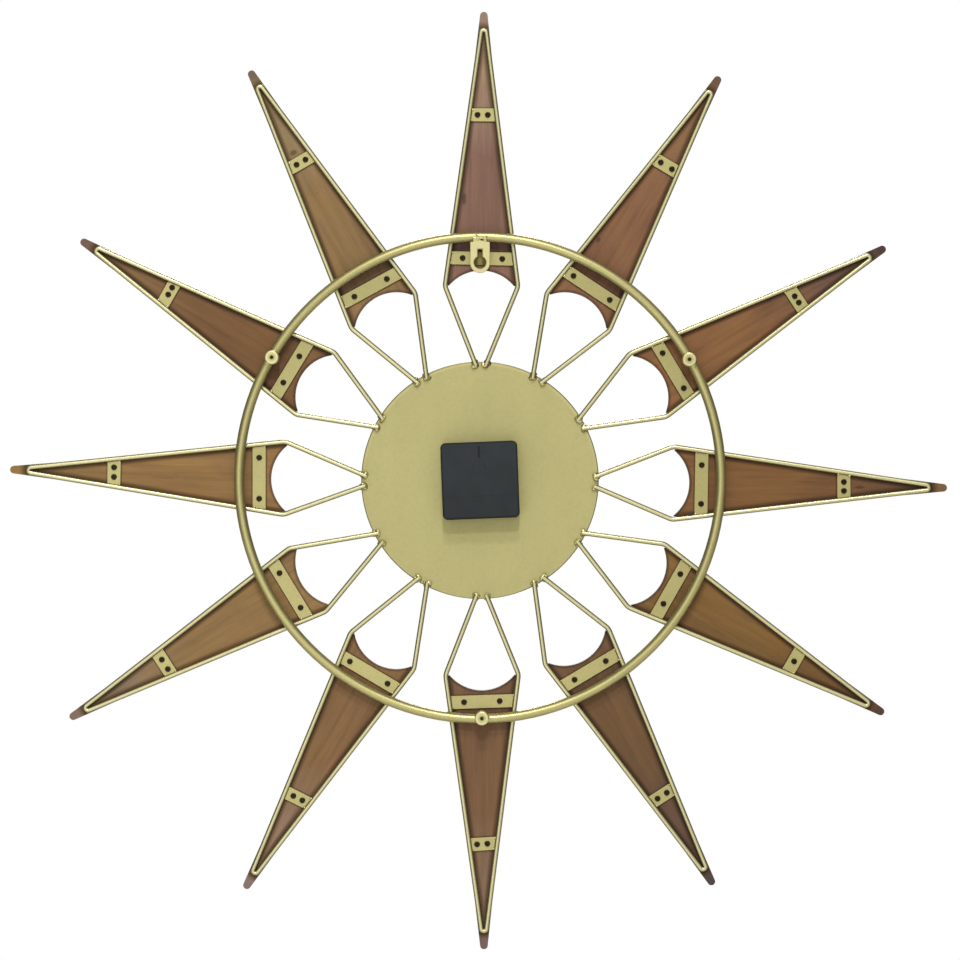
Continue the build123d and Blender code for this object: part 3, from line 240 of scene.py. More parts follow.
def shades(tone, darker, lighter):
    """A darker and a lighter shade of one tone."""
    dark = tuple(c * darker for c in tone[:3]) + (1,)
    light = tuple(min(1.0, c * lighter) for c in tone[:3]) + (1,)
    return dark, light


def gold_base(name, tone, mottle=0.035):
    """Start of every gold paint: the material, the place, the mottled tone and the fine grit."""
    m = Nodes(name)
    at = m.coords()
    dark, light = shades(tone, 1 - mottle, 1 + mottle)
    colour = m.ramp(m.noise(at, 24, 3, 0.55), [(0.35, dark), (0.65, light)])
    specks = m.grey(m.noise(at, 420, 3, 0.6), 0.90, 1.03, 0.28, 0.55)
    return m, at, m.multiply(0.5, colour, specks), m.noise(at, 1100, 2, 0.6)


def gold_finish(m, colour, fine, rough, metal=GOLD_METAL):
    """End of every gold paint: its gloss and its grit."""
    m.set(
        color=colour,
        metal=metal,
        rough=m.grey(fine, rough - 0.04, rough + 0.06),
        normal=m.bump(fine, 0.05, 0.0002),
    )
    return m.mat


def gold_material(name, tone, rough=0.40, metal=GOLD_METAL):
    """Satin metallic gold paint."""
    m, _, colour, fine = gold_base(name, tone)
    return gold_finish(m, colour, fine, rough, metal)


def gold_rod_material(name, tone, middle, radius, rough, strength):
    """Gold paint on a round rod whose middle lies at one depth, with painted shade along the rod's flanks.
    """
    m, at, colour, fine = gold_base(name, tone)
    away = m.math("DIVIDE", m.math("ABSOLUTE", m.math("SUBTRACT", m.axes(at)[1], middle)), radius)
    # painted shade: darker and olive towards the flanks, by the depth of the surface from the rod's middle
    shade = m.ramp(away, [
        (0.0, (0.15, 0.14, 0.08, 1)),
        (0.60, (0.27, 0.25, 0.16, 1)),
        (0.80, (0.55, 0.52, 0.42, 1)),
        (0.94, WHITE),
    ])
    return gold_finish(m, m.multiply(strength, colour, shade), fine, rough)


def disc_material(name, tone):
    """Gold paint on the dial disc, with painted shade along the rim at both sides and a painted highlight
    inside the upper rim.
    """
    fade = 60 * MM
    m, at, colour, fine = gold_base(name, tone, 0.02)
    streak = m.noise(m.mapping(at, scale=(1, 1, 0.08)), 60, 2, 0.5)
    colour = m.multiply(0.5, colour, m.grey(streak, 0.97, 1.02, 0.35, 0.65))
    x, _, z = m.axes(at)
    z = m.math("ADD", z, DIAL_DROP)
    far = m.length(x, z)
    # painted shade along the rim, strongest towards the left and right sides
    rim = m.share(far, DISC_RADIUS - 0.9 * MM, 0.5 * MM)
    sector = m.math("DIVIDE", m.math("ABSOLUTE", x), fade, clamp=True)
    painted_shade = m.math("MULTIPLY", rim, m.math("ADD", sector, 0.25, clamp=True))
    colour = m.multiply(painted_shade, colour, (0.22, 0.20, 0.10, 1))
    # painted highlight just inside the rim, on the upper half only
    inside = m.math("ABSOLUTE", m.math("SUBTRACT", far, DISC_RADIUS - 1.9 * MM))
    inside = m.math("SUBTRACT", 1.0, m.math("DIVIDE", inside, 0.9 * MM), clamp=True)
    upper = m.math("DIVIDE", z, fade, clamp=True)
    colour = m.multiply(m.math("MULTIPLY", inside, upper), colour, (1.22, 1.22, 1.18, 1))
    return gold_finish(m, colour, fine, 0.5, 0.40)


def rod_end_weld_material(name, tone):
    """Gold paint on the beads at the rods' ends, with painted shade where they meet the disc, strongest on
    the upper ones.
    """
    m, at, colour, fine = gold_base(name, tone, 0.06)
    _, depth, z = m.axes(at)
    # painted shade at the foot of each bead, weaker on the lower beads, which the light from above reaches
    rise = m.share(depth, BACK_Y + 0.7 * MM, 1.7 * MM)
    shade = m.ramp(rise, [(0.0, (0.12, 0.11, 0.05, 1)), (0.45, (0.42, 0.40, 0.26, 1)), (0.9, WHITE)])
    upper = m.share(z, -90 * MM, 150 * MM)
    painted_shade = m.math("ADD", m.math("MULTIPLY", upper, 0.65), 0.35)
    return gold_finish(m, m.multiply(painted_shade, colour, shade), fine, 0.30, 0.75)


def lug_material(name, tone):
    """Gold paint on the lugs, with painted shade round the hole and along the rim and painted light
    between, as the shading of a dished face.
    """
    m, at, colour, fine = gold_base(name, tone)
    x, _, z = m.axes(at)
    near = None
    for turn in LUG_ANGLES:
        dx = m.math("ADD", x, LUG_CIRCLE * math.cos(math.radians(turn)))
        dz = m.math("SUBTRACT", z, LUG_CIRCLE * math.sin(math.radians(turn)))
        far = m.length(dx, dz)
        near = far if near is None else m.math("MINIMUM", near, far)
    # painted shading of a dished face: dark round the hole, light across the face, darker again at the rim
    dish = m.ramp(m.math("DIVIDE", near, LUG_RADIUS), [
        (0.23, (0.16, 0.15, 0.07, 1)),
        (0.33, (0.62, 0.62, 0.50, 1)),
        (0.58, (0.86, 0.86, 0.78, 1)),
        (0.70, WHITE),
        (0.90, WHITE),
        (0.98, (0.55, 0.52, 0.38, 1)),
    ])
    return gold_finish(m, m.multiply(1.0, colour, dish), fine, 0.36)


def hanger_material(name, tone):
    """Gold paint on the hanger plate, with painted shade round the punched keyhole and along the plate's
    edge.
    """
    m, at, colour, fine = gold_base(name, tone)
    shade_width = 0.8 * MM
    x, _, z = m.axes(at)
    # painted shade round the punched keyhole
    dz = m.math("SUBTRACT", z, KEYHOLE)
    far = m.length(x, dz)
    entry = m.share(far, KEYHOLE_RADIUS, shade_width)
    beside = m.share(m.math("ABSOLUTE", x), KEYHOLE_SLOT_HALF, shade_width)
    above = m.share(z, KEYHOLE_SLOT_TOP, shade_width)
    below = m.share(KEYHOLE, z, shade_width)
    slot = m.math("MAXIMUM", m.math("MAXIMUM", beside, above), below)
    hole = m.math("MINIMUM", entry, slot)
    painted_shade = m.ramp(hole, [(0.0, (0.25, 0.23, 0.12, 1)), (0.6, (0.75, 0.73, 0.62, 1)), (1.0, WHITE)])
    colour = m.multiply(0.9, colour, painted_shade)
    # painted shade along the plate's edge; the rest of the plate is painted a little lighter
    drop = m.math("MINIMUM", m.math("SUBTRACT", z, HANGER_ROUND), 0.0)
    far = m.length(x, drop)
    edge = m.share(HANGER_HALF, far, 0.9 * MM)
    rim = m.ramp(edge, [(0.0, (0.35, 0.32, 0.2, 1)), (0.7, (1.08, 1.08, 1.04, 1))])
    colour = m.multiply(0.7, colour, rim)
    return gold_finish(m, colour, fine, 0.36)


def inner_strap_material(name, tone):
    """Gold paint on the inner straps, with painted light: lighter on the lower ones and darker on the upper
    ones except the top one.

    The top strap has a painted shadow of the hanger plate where the plate covers it.
    """
    covered_half = 6.5 * MM
    covered_above = 140 * MM
    m, at, colour, fine = gold_base(name, tone)
    x, _, z = m.axes(at)
    # painted light: lighter on the lower straps, darker on the upper ones, the top one untouched
    level = m.share(z, -160 * MM, 320 * MM)
    painted_light = m.ramp(level, [(0.0, (1.09, 1.09, 1.09, 1)), (0.95, (0.90, 0.90, 0.90, 1)), (0.97, WHITE)])
    colour = m.multiply(1.0, colour, painted_light)
    # painted shadow of the hanger plate on the top strap, a little lighter in the middle
    behind = m.math("LESS_THAN", m.math("ABSOLUTE", x), covered_half)
    covered = m.math("MULTIPLY", behind, m.math("GREATER_THAN", z, covered_above))
    hanger_shadow = m.grey(m.math("DIVIDE", m.math("ABSOLUTE", x), 5 * MM, clamp=True), 0.75, 0.28, 0.0, 0.6)
    hanger_shadow = m.multiply(1.0, (0.85, 0.78, 0.55, 1), hanger_shadow)
    colour = m.multiply(m.math("MULTIPLY", covered, 0.9), colour, hanger_shadow)
    return gold_finish(m, colour, fine, 0.40)


def case_material(name, tone):
    """Moulded charcoal plastic with painted shade on the rounded edges and in the sunken features of the
    rear face, and painted light that makes it lighter towards the top.
    """
    m = Nodes(name)
    at = m.coords()
    dark, light = shades(tone, 0.92, 1.15)
    colour = m.ramp(m.noise(at, 70, 2, 0.5), [(0.35, dark), (0.65, light)])
    _, depth, z = m.axes(at)
    # painted shade in the sunken features of the rear face
    sunk = m.share(CASE_REAR_Y - 0.03 * MM, depth, 0.22 * MM)
    colour = m.multiply(sunk, colour, (0.10, 0.10, 0.07, 1))
    # painted shade on the rounded edges of the square case
    square = m.mapping(at, rotation=(0, math.radians(-CASE_TURN), 0), location=(0, 0, DIAL_DROP))
    x, _, level = m.axes(square)
    reach = m.math("MAXIMUM", m.math("ABSOLUTE", x), m.math("ABSOLUTE", level))
    edge = m.share(CASE_HALF, reach, 1.7 * MM)
    colour = m.multiply(1.0, colour, m.grey(edge, 0.16, 1.0, 0.30, 0.95))
    # painted light: lighter towards the top
    fade = m.share(z, -30 * MM, 58 * MM)
    colour = m.multiply(1.0, colour, m.grey(fade, 0.86, 1.20, 0.0, 1.0))
    fine = m.noise(at, 1500, 2, 0.6)
    m.set(color=colour, rough=m.grey(fine, 0.5, 0.64), spec=0.3, normal=m.bump(fine, 0.10, 0.0001))
    return m.mat


def plastic_material(name, tone, rough=0.55, grit=1500):
    """Moulded plastic with a fine spark texture and faint cloudiness."""
    m = Nodes(name)
    at = m.coords()
    cloud = m.noise(at, 60, 2, 0.5)
    fine = m.noise(at, grit, 2, 0.6)
    dark, light = shades(tone, 0.90, 1.12)
    m.set(
        color=m.ramp(cloud, [(0.35, dark), (0.65, light)]),
        rough=m.grey(fine, rough - 0.06, rough + 0.08),
        normal=m.bump(fine, 0.12, 0.0001),
    )
    return m.mat


def metal_material(name, tone, rough, stretch=(1, 1, 1)):
    """Turned or stamped metal with fine tool marks."""
    m = Nodes(name)
    at = m.mapping(m.coords(), scale=stretch)
    marks = m.noise(at, 300, 4, 0.6)
    dark, light = shades(tone, 0.80, 1.15)
    m.set(
        color=m.ramp(marks, [(0.3, dark), (0.7, light)]),
        metal=1.0,
        rough=m.grey(marks, rough - 0.08, rough + 0.12),
        normal=m.bump(marks, 0.1, 0.0001),
    )
    return m.mat


def wood_material(index, tone, outer, tip, gap_shade):
    """Stained timber of one slat, in the slat's own axes.

    Grain along the slat, slow stain clouds and pores all over, and its own shade of end grain at the tip.
    On the back: painted shade beside the rods and along the straps, a painted shadow of the ring, old
    stains. Round the notch: painted shade along the edge.
    """
    slat_length = 260 * MM
    tip_start = 245 * MM
    ring_shadow_reach = 13 * MM
    back_edge = -19.0 * MM
    m = Nodes(f"stained_wood_{index + 1:02d}")
    angle = math.radians(index * RAY_STEP)
    turned = math.radians(index * RAY_STEP + RAY_SWING[index])
    lean = angle - turned
    slide = (DISC_RADIUS_MM * math.sin(lean) + DIAL_DROP_MM * math.sin(turned) + RAY_SHIFT[index]) * MM
    drop = (DIAL_DROP_MM * math.cos(turned) - DISC_RADIUS_MM * math.cos(lean) - RAY_REACH[index]) * MM
    along = m.mapping(m.coords(), rotation=(0, turned, 0), location=(slide, 0, drop))
    across, depth, out = m.axes(along)
    own = m.mapping(along, location=(0.37 * index, 0.11 * index, 0.23 * index))
    grain = m.noise(m.mapping(own, scale=(1, 1, 0.05)), 240, 5, 0.6, 0.3)
    bands = m.noise(m.mapping(own, scale=(1, 1, 0.10)), 70, 3, 0.5, 0.8)
    clouds = m.noise(m.mapping(own, scale=(1, 1, 0.45)), 30, 4, 0.65, 0.6)
    pores = m.noise(m.mapping(own, scale=(1, 1, 0.035)), 900, 2, 0.5)
    wander = m.math("ADD", out, m.math("MULTIPLY", m.math("SUBTRACT", clouds, 0.5), 90 * MM))
    toward_tip = m.grey(m.math("DIVIDE", wander, slat_length, clamp=True), 0.0, 1.0, 0.60, 0.80)
    colour = m.mix(toward_tip, tone, outer)
    colour = m.multiply(1.0, colour, m.grey(grain, 0.86, 1.13, 0.32, 0.70))
    stain = m.ramp(clouds, [(0.36, (1.06, 1.04, 0.94, 1)), (0.50, WHITE), (0.66, (0.90, 0.86, 0.92, 1))])
    colour = m.multiply(0.9, colour, stain)
    tint = m.ramp(bands, [(0.36, (0.78, 0.75, 0.74, 1)), (0.6, (1.07, 1.05, 1.03, 1))])
    colour = m.multiply(0.45, colour, tint)
    pits = m.ramp(pores, [(0.28, (0.45, 0.4, 0.38, 1)), (0.38, WHITE)])
    colour = m.multiply(0.35, colour, pits)
    back = m.share(depth, back_edge, 0.8 * MM)
    # strength on the back face, for the old stains and for the painted shade along the straps
    back_stain_and_shade = m.math("MULTIPLY", back, 0.9)
    if index in STAINS:
        u, v, wide, high = STAINS[index]
        du = m.math("DIVIDE", m.math("ADD", across, u * MM), wide * MM)
        dv = m.math("DIVIDE", m.math("SUBTRACT", out, v * MM), high * MM)
        far = m.length(du, dv)
        ragged = m.math("ADD", far, m.math("MULTIPLY", m.noise(along, 420, 2, 0.5), 0.8))
        spot = m.grey(m.math("MULTIPLY", ragged, 0.5), 0.45, 1.0, 0.55, 0.78)
        colour = m.multiply(back_stain_and_shade, colour, spot)
    # end grain at the tip
    tip_mask = m.share(out, tip_start, 5 * MM)
    tip_tone = m.multiply(1.0, tip, m.grey(grain, 0.90, 1.08, 0.32, 0.70))
    colour = m.mix(tip_mask, colour, tip_tone)
    # painted shade: a dark line beside each rod, on the back face only
    side = m.math("ABSOLUTE", across)
    inward = m.math("SUBTRACT", ROD_MEETING * MM, out)
    rod = m.math("SUBTRACT", m.math("MULTIPLY", inward, ROD_SLOPE), ROD_R)
    gap = m.share(rod, side, 3.4 * MM)
    line = m.ramp(gap, [(0.0, (0.22, 0.16, 0.08, 1)), (0.42, (0.42, 0.34, 0.24, 1)), (1.0, WHITE)])
    beside = m.math("MULTIPLY", back, m.math("SUBTRACT", 0.85, tip_mask), clamp=True)
    colour = m.multiply(beside, colour, line)
    # painted shade: a dark line along both edges of each strap, on the back face
    for centre, tilt in strap_places(index):
        level = m.math("SUBTRACT", out, m.math("MULTIPLY", across, -math.tan(math.radians(tilt))))
        away = m.math("ABSOLUTE", m.math("SUBTRACT", level, centre * MM))
        edge = m.share(away, STRAP_HALF * MM, 1.3 * MM)
        edge = m.ramp(edge, [(0.0, (0.26, 0.22, 0.18, 1)), (0.5, (0.62, 0.58, 0.54, 1)), (1.0, WHITE)])
        colour = m.multiply(back_stain_and_shade, colour, edge)
    # painted shadow of the ring, from the inner strap out to the ring, on the back face
    above = m.math("SUBTRACT", out, (INNER_STRAP + INNER_SHIFT[index] + STRAP_HALF) * MM)
    fade = m.share(ring_shadow_reach, above, 5 * MM)
    ring_shadow = m.math("MULTIPLY", m.math("MULTIPLY", m.math("GREATER_THAN", above, 0.0), fade), back)
    colour = m.multiply(m.math("MULTIPLY", ring_shadow, gap_shade), colour, (0.30, 0.24, 0.30, 1))
    # painted shade along the edge of the sawn notch
    height = m.math("SUBTRACT", out, (NOTCH_CENTRE + NOTCH_SHIFT[index]) * MM)
    far = m.length(across, height)
    rim = m.share(far, NOTCH_RADIUS * MM, 1.9 * MM)
    notch_shade = m.ramp(rim, [(0.0, (0.26, 0.22, 0.22, 1)), (0.5, (0.50, 0.46, 0.46, 1)), (1.0, WHITE)])
    colour = m.multiply(0.8, colour, notch_shade)
    relief = m.math("ADD", m.math("MULTIPLY", grain, 0.6), m.math("MULTIPLY", pores, 0.4))
    m.set(color=colour, rough=m.grey(grain, 0.62, 0.5), spec=0.3, normal=m.bump(relief, 0.25, 0.0004))
    return m.mat


gold = gold_material("gold_paint", srgb(182, 177, 124))
gold_rod = gold_rod_material("gold_rod_paint", srgb(208, 206, 165), ROD_Y, ROD_R, 0.34, 0.95)
gold_ring = gold_rod_material("gold_ring_paint", srgb(185, 180, 128), RING_Y, RING_TUBE, 0.36, 0.5)
gold_disc = disc_material("gold_disc_paint", srgb(178, 174, 121))
gold_lug = lug_material("gold_lug_paint", srgb(212, 208, 162))
gold_hanger = hanger_material("gold_hanger_paint", srgb(202, 198, 154))
gold_inner = inner_strap_material("gold_inner_strap_paint", srgb(176, 171, 120))
weld_gold = gold_material("gold_weld", srgb(214, 208, 156), rough=0.30, metal=0.75)
weld_end = rod_end_weld_material("gold_rod_end_weld", srgb(214, 210, 158))
# painted shade: a dark gold for the blob that stands in for the shade between the hanger's weld beads
crevice_shade = gold_material("weld_crevice", srgb(62, 60, 34), rough=0.5, metal=0.5)
case_plastic = case_material("case_plastic", srgb(31, 38, 44))
charcoal = plastic_material("charcoal_plastic", srgb(31, 38, 44), rough=0.55)
natural = plastic_material("natural_plastic", (0.62, 0.62, 0.58, 1), rough=0.45)
white_gear = plastic_material("white_gear_plastic", (0.75, 0.75, 0.72, 1), rough=0.4)
black_hands = plastic_material("black_hand_paint", (0.012, 0.012, 0.012, 1), rough=0.45, grit=1200)
rubber = plastic_material("black_rubber", (0.02, 0.02, 0.02, 1), rough=0.85)
screw_black = metal_material("black_screw", (0.03, 0.022, 0.018, 1), rough=0.34)
brass = metal_material("turned_brass", (0.70, 0.52, 0.22, 1), rough=0.25)
nickel = metal_material("nickel_spring", (0.62, 0.62, 0.60, 1), rough=0.25)
stator_iron = metal_material("stator_iron", (0.42, 0.42, 0.44, 1), rough=0.35)
crystal_can = metal_material("crystal_can", (0.60, 0.60, 0.62, 1), rough=0.22)
magnet_mat = metal_material("magnet", (0.12, 0.12, 0.13, 1), rough=0.4)

# For each ray: stain of the inner part, stain toward the tip, end grain of the tip, all as 8-bit sRGB, and
# how dark the painted shadow of the ring is.
WOOD = [
    ((126, 95, 83), (163, 139, 118), (145, 125, 111), 0.75),
    ((132, 94, 65), (130, 98, 65), (104, 78, 58), 0.6),
    ((133, 94, 57), (104, 78, 64), (67, 50, 49), 0.2),
    ((125, 89, 49), (105, 75, 47), (115, 88, 59), 0.15),
    ((123, 92, 48), (112, 81, 44), (78, 54, 46), 0.2),
    ((108, 80, 52), (98, 74, 61), (68, 61, 61), 0.2),
    ((116, 86, 60), (138, 113, 91), (113, 90, 91), 0.15),
    ((131, 100, 64), (147, 122, 98), (126, 108, 106), 0.1),
    ((140, 112, 70), (144, 123, 99), (125, 104, 93), 0.1),
    ((144, 112, 68), (135, 109, 67), (138, 109, 62), 0.2),
    ((118, 85, 51), (134, 105, 70), (109, 86, 75), 0.4),
    ((136, 109, 71), (150, 130, 94), (112, 93, 82), 0.7),
]


def paint(node, material):
    """Give one CAD node a single material."""
    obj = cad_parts[node]
    obj.data.materials.clear()
    obj.data.materials.append(material)


for index in range(RAY_COUNT):
    tone, outer, tip, shade = WOOD[index]
    paint(f"ray_{index + 1:02d}", wood_material(index, srgb(*tone), srgb(*outer), srgb(*tip), shade))
    paint(f"wire_frame_{index + 1:02d}", gold_rod)
paint("outer_straps", gold)
paint("inner_straps", gold_inner)
paint("hanger_plate", gold_hanger)
paint("standoff_lugs", gold_lug)
paint("support_ring", gold_ring)
paint("dial_disc", gold_disc)
for node in ("outer_strap_screws", "inner_strap_screws"):
    paint(node, screw_black)
for node in ("movement_rear_cover", "battery_door", "setting_knob"):
    paint(node, case_plastic)
paint("movement_front_case", charcoal)
paint("gear_bridge", natural)
for node in ("intermediate_wheel", "second_wheel", "third_wheel", "centre_wheel", "minute_work_wheel",
             "hour_wheel", "rotor_pinion"):
    paint(node, white_gear)
paint("rotor_magnet", magnet_mat)
for node in ("cannon_pinion", "dial_bushing", "dial_nut", "minute_hand_nut", "battery_contact_positive"):
    paint(node, brass)
paint("battery_contact_negative", nickel)
paint("battery_cell", plastic_material("cell_wrap", (0.03, 0.06, 0.05, 1), rough=0.3))
paint("circuit_board", plastic_material("circuit_board", (0.03, 0.16, 0.07, 1), rough=0.4))
paint("quartz_crystal", crystal_can)
paint("coil", metal_material("copper_coil", (0.55, 0.22, 0.10, 1), rough=0.3, stretch=(1, 1, 30)))
paint("stator", stator_iron)
paint("rubber_washer", rubber)
for node in ("hour_hand", "minute_hand", "second_hand"):
    paint(node, black_hands)

# ---------------------------------------------------------------- camera, light and floor

camera_data = bpy.data.cameras.new("camera")
camera = bpy.data.objects.new("camera", camera_data)
bpy.context.scene.collection.objects.link(camera)
CAMERA_DISTANCE = 2.4
CAMERA_Z = -0.0016
VIEW_WIDTH = 0.7031
SENSOR_WIDTH = 36
camera_data.sensor_width = SENSOR_WIDTH
camera_data.lens = SENSOR_WIDTH * CAMERA_DISTANCE / VIEW_WIDTH
camera.location = (0, BACK_Y + CAMERA_DISTANCE, CAMERA_Z)
camera.rotation_euler = (math.radians(90), 0, math.radians(180))
bpy.context.scene.camera = camera
bpy.context.scene.view_settings.view_transform = "Standard"

FLOOR_HALF = 6
FLOOR_Z = -1.5
floor_mesh = bpy.data.meshes.new("floor")
floor_corners = [(x * FLOOR_HALF, y * FLOOR_HALF, FLOOR_Z) for x, y in ((-1, -1), (1, -1), (1, 1), (-1, 1))]
floor_mesh.from_pydata(floor_corners, [], [(0, 1, 2, 3)])
floor = bpy.data.objects.new("floor", floor_mesh)
bpy.context.scene.collection.objects.link(floor)
floor_paint = Nodes("floor_paint")
floor_cloud = floor_paint.noise(floor_paint.coords(), 3)
floor_paint.set(color=floor_paint.grey(floor_cloud, 0.88, 0.92), rough=0.8)
floor_mesh.materials.append(floor_paint.mat)

# The camera sees plain white. The warm ambient light is dim from the left and the right and bright all
# the way round between them.
world = bpy.data.worlds.new("studio")
bpy.context.scene.world = world
world.use_nodes = True
wt = world.node_tree
wt.nodes.clear()
w_out = wt.nodes.new("ShaderNodeOutputWorld")
w_cam = wt.nodes.new("ShaderNodeBackground")
w_cam.inputs["Color"].default_value = (1, 1, 1, 1)
w_cam.inputs["Strength"].default_value = 1.0
w_amb = wt.nodes.new("ShaderNodeBackground")
w_path = wt.nodes.new("ShaderNodeLightPath")
w_mix = wt.nodes.new("ShaderNodeMixShader")
w_geo = wt.nodes.new("ShaderNodeTexCoord")
w_sep = wt.nodes.new("ShaderNodeSeparateXYZ")
w_abs = wt.nodes.new("ShaderNodeMath")
w_abs.operation = "ABSOLUTE"
w_ramp = wt.nodes.new("ShaderNodeValToRGB")
w_stops = w_ramp.color_ramp.elements
w_stops[0].position = 0.0
w_stops[0].color = (0.76, 0.69, 0.55, 1)
w_stops[1].position = 1.0
w_stops[1].color = (0.06, 0.055, 0.045, 1)
w_stops.new(0.35).color = (0.65, 0.59, 0.48, 1)
w_stops.new(0.75).color = (0.22, 0.20, 0.17, 1)
wt.links.new(w_geo.outputs["Generated"], w_sep.inputs[0])
wt.links.new(w_sep.outputs["X"], w_abs.inputs[0])
wt.links.new(w_abs.outputs[0], w_ramp.inputs["Fac"])
wt.links.new(w_ramp.outputs["Color"], w_amb.inputs["Color"])
w_amb.inputs["Strength"].default_value = 1.1
wt.links.new(w_path.outputs["Is Camera Ray"], w_mix.inputs["Fac"])
wt.links.new(w_amb.outputs[0], w_mix.inputs[1])
wt.links.new(w_cam.outputs[0], w_mix.inputs[2])
wt.links.new(w_mix.outputs[0], w_out.inputs["Surface"])


def area_light(name, direction, distance, size, power):
    """Square soft box aimed at the clock's centre."""
    data = bpy.data.lights.new(name, "AREA")
    data.shape = "SQUARE"
    data.size = size
    data.energy = power
    obj = bpy.data.objects.new(name, data)
    bpy.context.scene.collection.objects.link(obj)
    away = Vector(direction).normalized()
    obj.location = away * distance
    obj.rotation_euler = away.to_track_quat("Z", "Y").to_euler()


def tilted(angle, side):
    """Direction above the clock, tilted from the axis by an angle, on the wall side or the dial side."""
    return (0, side * math.cos(math.radians(angle)), math.sin(math.radians(angle)))


area_light("key_rear_low", tilted(33, 1), distance=5.0, size=0.35, power=53)
area_light("key_rear_high", tilted(48, 1), distance=5.0, size=0.5, power=60)
area_light("fill_rear", (0.33, 1.0, -0.16), distance=1.3, size=1.0, power=2.2)
area_light("key_front", tilted(35, -1), distance=3.0, size=0.8, power=45)


# ---------------------------------------------------------------- weld beads

def metres(*values):
    """Several lengths in mm, in metres."""
    return tuple(value * MM for value in values)


def blob(bm, centre, size, axis, seed):
    """One lumpy weld bead along an axis: a small ball pushed in and out by a fixed random draw."""
    made = bmesh.ops.create_icosphere(bm, subdivisions=3, radius=1.0)
    draw = random.Random(seed)
    waves = [(Vector((draw.uniform(-1, 1), draw.uniform(-1, 1), draw.uniform(-1, 1))).normalized(),
              draw.uniform(2, 5), draw.uniform(0, 6), draw.uniform(0.04, 0.13)) for _ in range(5)]
    turn = Vector((0, 0, 1)).rotation_difference(axis).to_matrix()
    for v in made["verts"]:
        d = v.co.normalized()
        r = 1 + sum(a * math.sin(k * d.dot(w) + p) for w, k, p, a in waves)
        v.co = centre + turn @ Vector((d.x * size[0] * r, d.y * size[1] * r, d.z * size[2] * r))


def finish_mesh(bm, name, material, smooth=True):
    """Make one piece that rides on the frame from the mesh being built."""
    mesh = bpy.data.meshes.new(name)
    bm.to_mesh(mesh)
    bm.free()
    for p in mesh.polygons:
        p.use_smooth = smooth
    mesh.materials.append(material)
    obj = bpy.data.objects.new(name, mesh)
    bpy.context.scene.collection.objects.link(obj)
    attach(obj, "frame")


# a round head on each rod's inner end, with a flatter tail along the rod
bm = bmesh.new()
for index in range(RAY_COUNT):
    for side in (-1, 1):
        tip = ray_point(index, side * ROD_END[0], ROD_END[1] - RAY_REACH[index], ROD_Y)
        knee = ray_point(index, side * KNEE[0], KNEE[1], ROD_Y)
        along = (knee - tip).normalized()
        seed = index * 10 + side
        head = tip + along * 0.6 * MM + Vector((0, -1.0 * MM, 0))
        tail = tip + along * 2.6 * MM + Vector((0, -1.3 * MM, 0))
        blob(bm, head, metres(2.9, 2.2, 2.0), along, seed)
        blob(bm, tail, metres(2.4, 1.2, 2.2), along, seed + 3)
finish_mesh(bm, "rod_end_welds", weld_end)

# a bead at each of the four corners where a strap meets its rods
bm = bmesh.new()
for index in range(RAY_COUNT):
    for row, (centre, tilt) in enumerate(strap_places(index), start=1):
        for side in (-1, 1):
            for edge in (-1, 1):
                u0 = side * ROD_SLOPE * (ROD_MEETING - centre)
                v = centre + u0 * math.tan(math.radians(tilt)) + edge * (STRAP_HALF - 0.9)
                u = side * (ROD_SLOPE * (ROD_MEETING - v) - ROD_R_MM)
                seed = index * 40 + row * 8 + side * 2 + edge
                size = metres(0.95, 1.2, 1.1) if side < 0 else metres(0.8, 0.9, 0.7)
                outward = (ray_point(index, u, v + 1, 0) - ray_point(index, u, v, 0)).normalized()
                blob(bm, ray_point(index, u, v, STRAP_TOP - 0.1 * MM), size, outward, seed)
finish_mesh(bm, "strap_welds", weld_gold)


def ring_crossing(index, side):
    """Distance out from the rim where a rod passes under the ring's middle line."""
    lo, hi = 60.0, 120.0
    for _ in range(40):
        v = (lo + hi) / 2
        p = ray_point(index, side * ROD_SLOPE * (ROD_MEETING - v), v, 0)
        if math.hypot(p.x, p.z) < RING_R:
            lo = v
        else:
            hi = v
    return (lo + hi) / 2


# a bead on either side of the ring's middle line where it crosses a rod
bm = bmesh.new()
for index in range(RAY_COUNT):
    for side in (-1, 1):
        v = ring_crossing(index, side)
        u = side * ROD_SLOPE * (ROD_MEETING - v)
        centre = ray_point(index, u, v, RING_Y - RING_TUBE)
        radial = Vector((centre.x, 0, centre.z)).normalized()
        for way in (-1, 1):
            seed = index * 9 + side * 2 + way
            blob(bm, centre + radial * way * 1.9 * MM, metres(1.9, 1.5, 1.2), radial, seed)
finish_mesh(bm, "ring_welds", weld_gold)

# ---------------------------------------------------------------- hanger and lug welds

HANGER_WELD_Y = -6.6 * MM
# Each bead: place to the right as seen from the wall, height and half width, in mm.
HANGER_BEADS = [
    (-3.6, 174.4, 1.7),
    (-2.6, 176.2, 1.5),
    (-1.3, 174.2, 1.3),
    (4.0, 175.2, 1.4),
    (3.9, 173.4, 1.1),
]
bm = bmesh.new()
for place, level, size in HANGER_BEADS:
    at = Vector((-place * MM, HANGER_WELD_Y, level * MM))
    blob(bm, at, metres(size, 1.0, 1.5), Vector((0, 0, 1)), int(place * 10) + 90)
finish_mesh(bm, "hanger_welds", weld_gold)
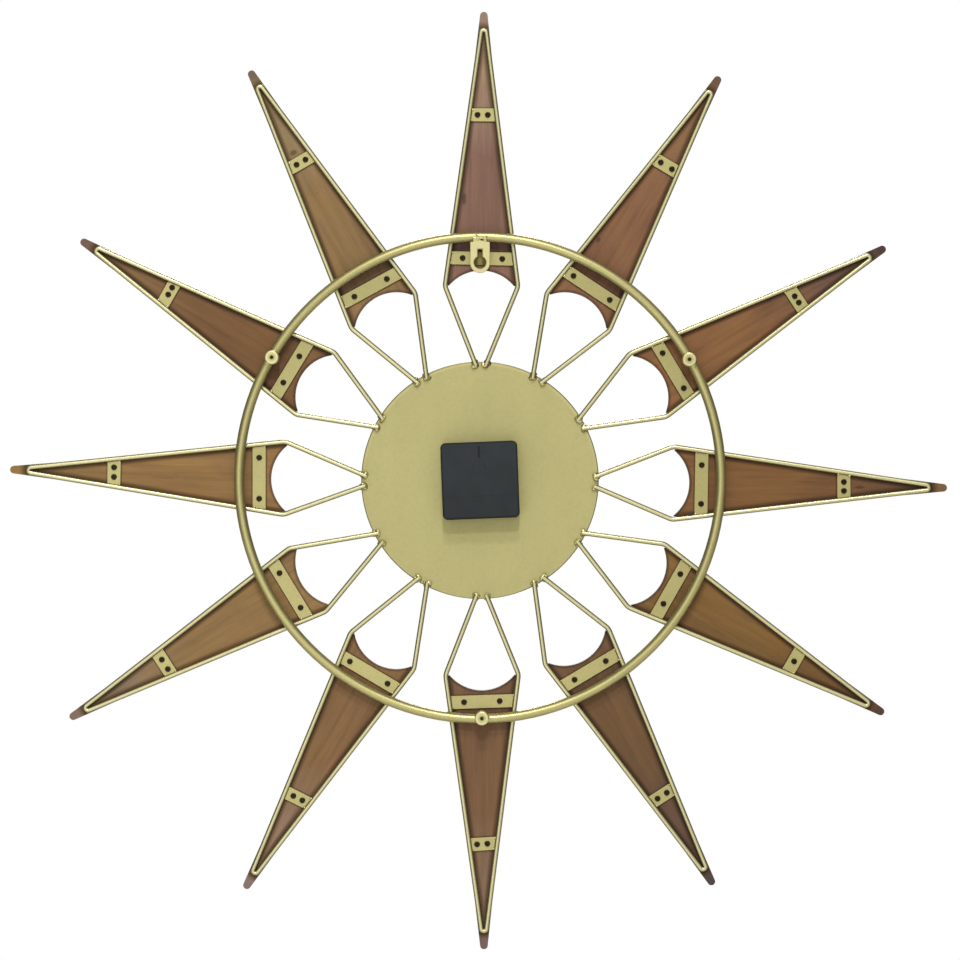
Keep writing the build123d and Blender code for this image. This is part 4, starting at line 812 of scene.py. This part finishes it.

# a dark blob that paints the shade in the crevice between the hanger's weld beads
bm = bmesh.new()
blob(bm, Vector(metres(-1.5, -6.75, 173.6)), metres(1.3, 0.75, 1.5), Vector((0, 1, 0)), 77)
finish_mesh(bm, "hanger_weld_crevice", crevice_shade)

LUG_WELD_Y = -8.1 * MM
LUG_WELD_OFFSET_MM = 5.3
bm = bmesh.new()
for number, turn in enumerate(LUG_ANGLES):
    angle = math.radians(turn)
    radial = Vector((-math.cos(angle), 0, math.sin(angle)))
    tangent = Vector((0, 1, 0)).cross(radial)
    for way in (-1, 1):
        at = radial * RING_R + tangent * way * LUG_WELD_OFFSET_MM * MM + Vector((0, LUG_WELD_Y, 0))
        blob(bm, at, metres(2.0, 1.1, 1.2), tangent, number * 5 + way + 300)
finish_mesh(bm, "lug_welds", weld_gold)

# ---------------------------------------------------------------- dial markers on the front

TOP_SHARE = 0.72
MARKER_SINK = 0.05 * MM


def marker(bm, distance, angle, length, width, height):
    """One raised bar on the dial's face, narrower at the top and with bevelled edges."""
    turn = math.radians(angle)
    out = Vector((math.sin(turn), 0, math.cos(turn)))
    side = Vector((math.cos(turn), 0, -math.sin(turn)))
    centre = out * distance + Vector((0, DISC_FRONT_Y, -DIAL_DROP))
    made = bmesh.ops.create_cube(bm, size=1.0)
    for v in made["verts"]:
        shrink = TOP_SHARE if v.co.y < 0 else 1.0
        rise = Vector((0, (v.co.y - 0.5) * height + MARKER_SINK, 0))
        v.co = (
            centre
            + side * v.co.x * width * shrink
            + out * v.co.z * (length - width * (1 - shrink))
            + rise
        )
    edges = list(dict.fromkeys(e for v in made["verts"] for e in v.link_edges))
    bmesh.ops.bevel(bm, geom=edges, offset=0.12 * MM, segments=2, affect="EDGES", profile=0.6)


bm = bmesh.new()
for step in range(60):
    if step % 15 == 0:
        marker(bm, 71 * MM, step * 6, 15 * MM, 3.4 * MM, 0.9 * MM)
    elif step % 5 == 0:
        marker(bm, 73.5 * MM, step * 6, 10 * MM, 2.2 * MM, 0.9 * MM)
    else:
        marker(bm, 77.3 * MM, step * 6, 2.4 * MM, 0.7 * MM, 0.5 * MM)
finish_mesh(bm, "hour_markers", black_hands, smooth=False)
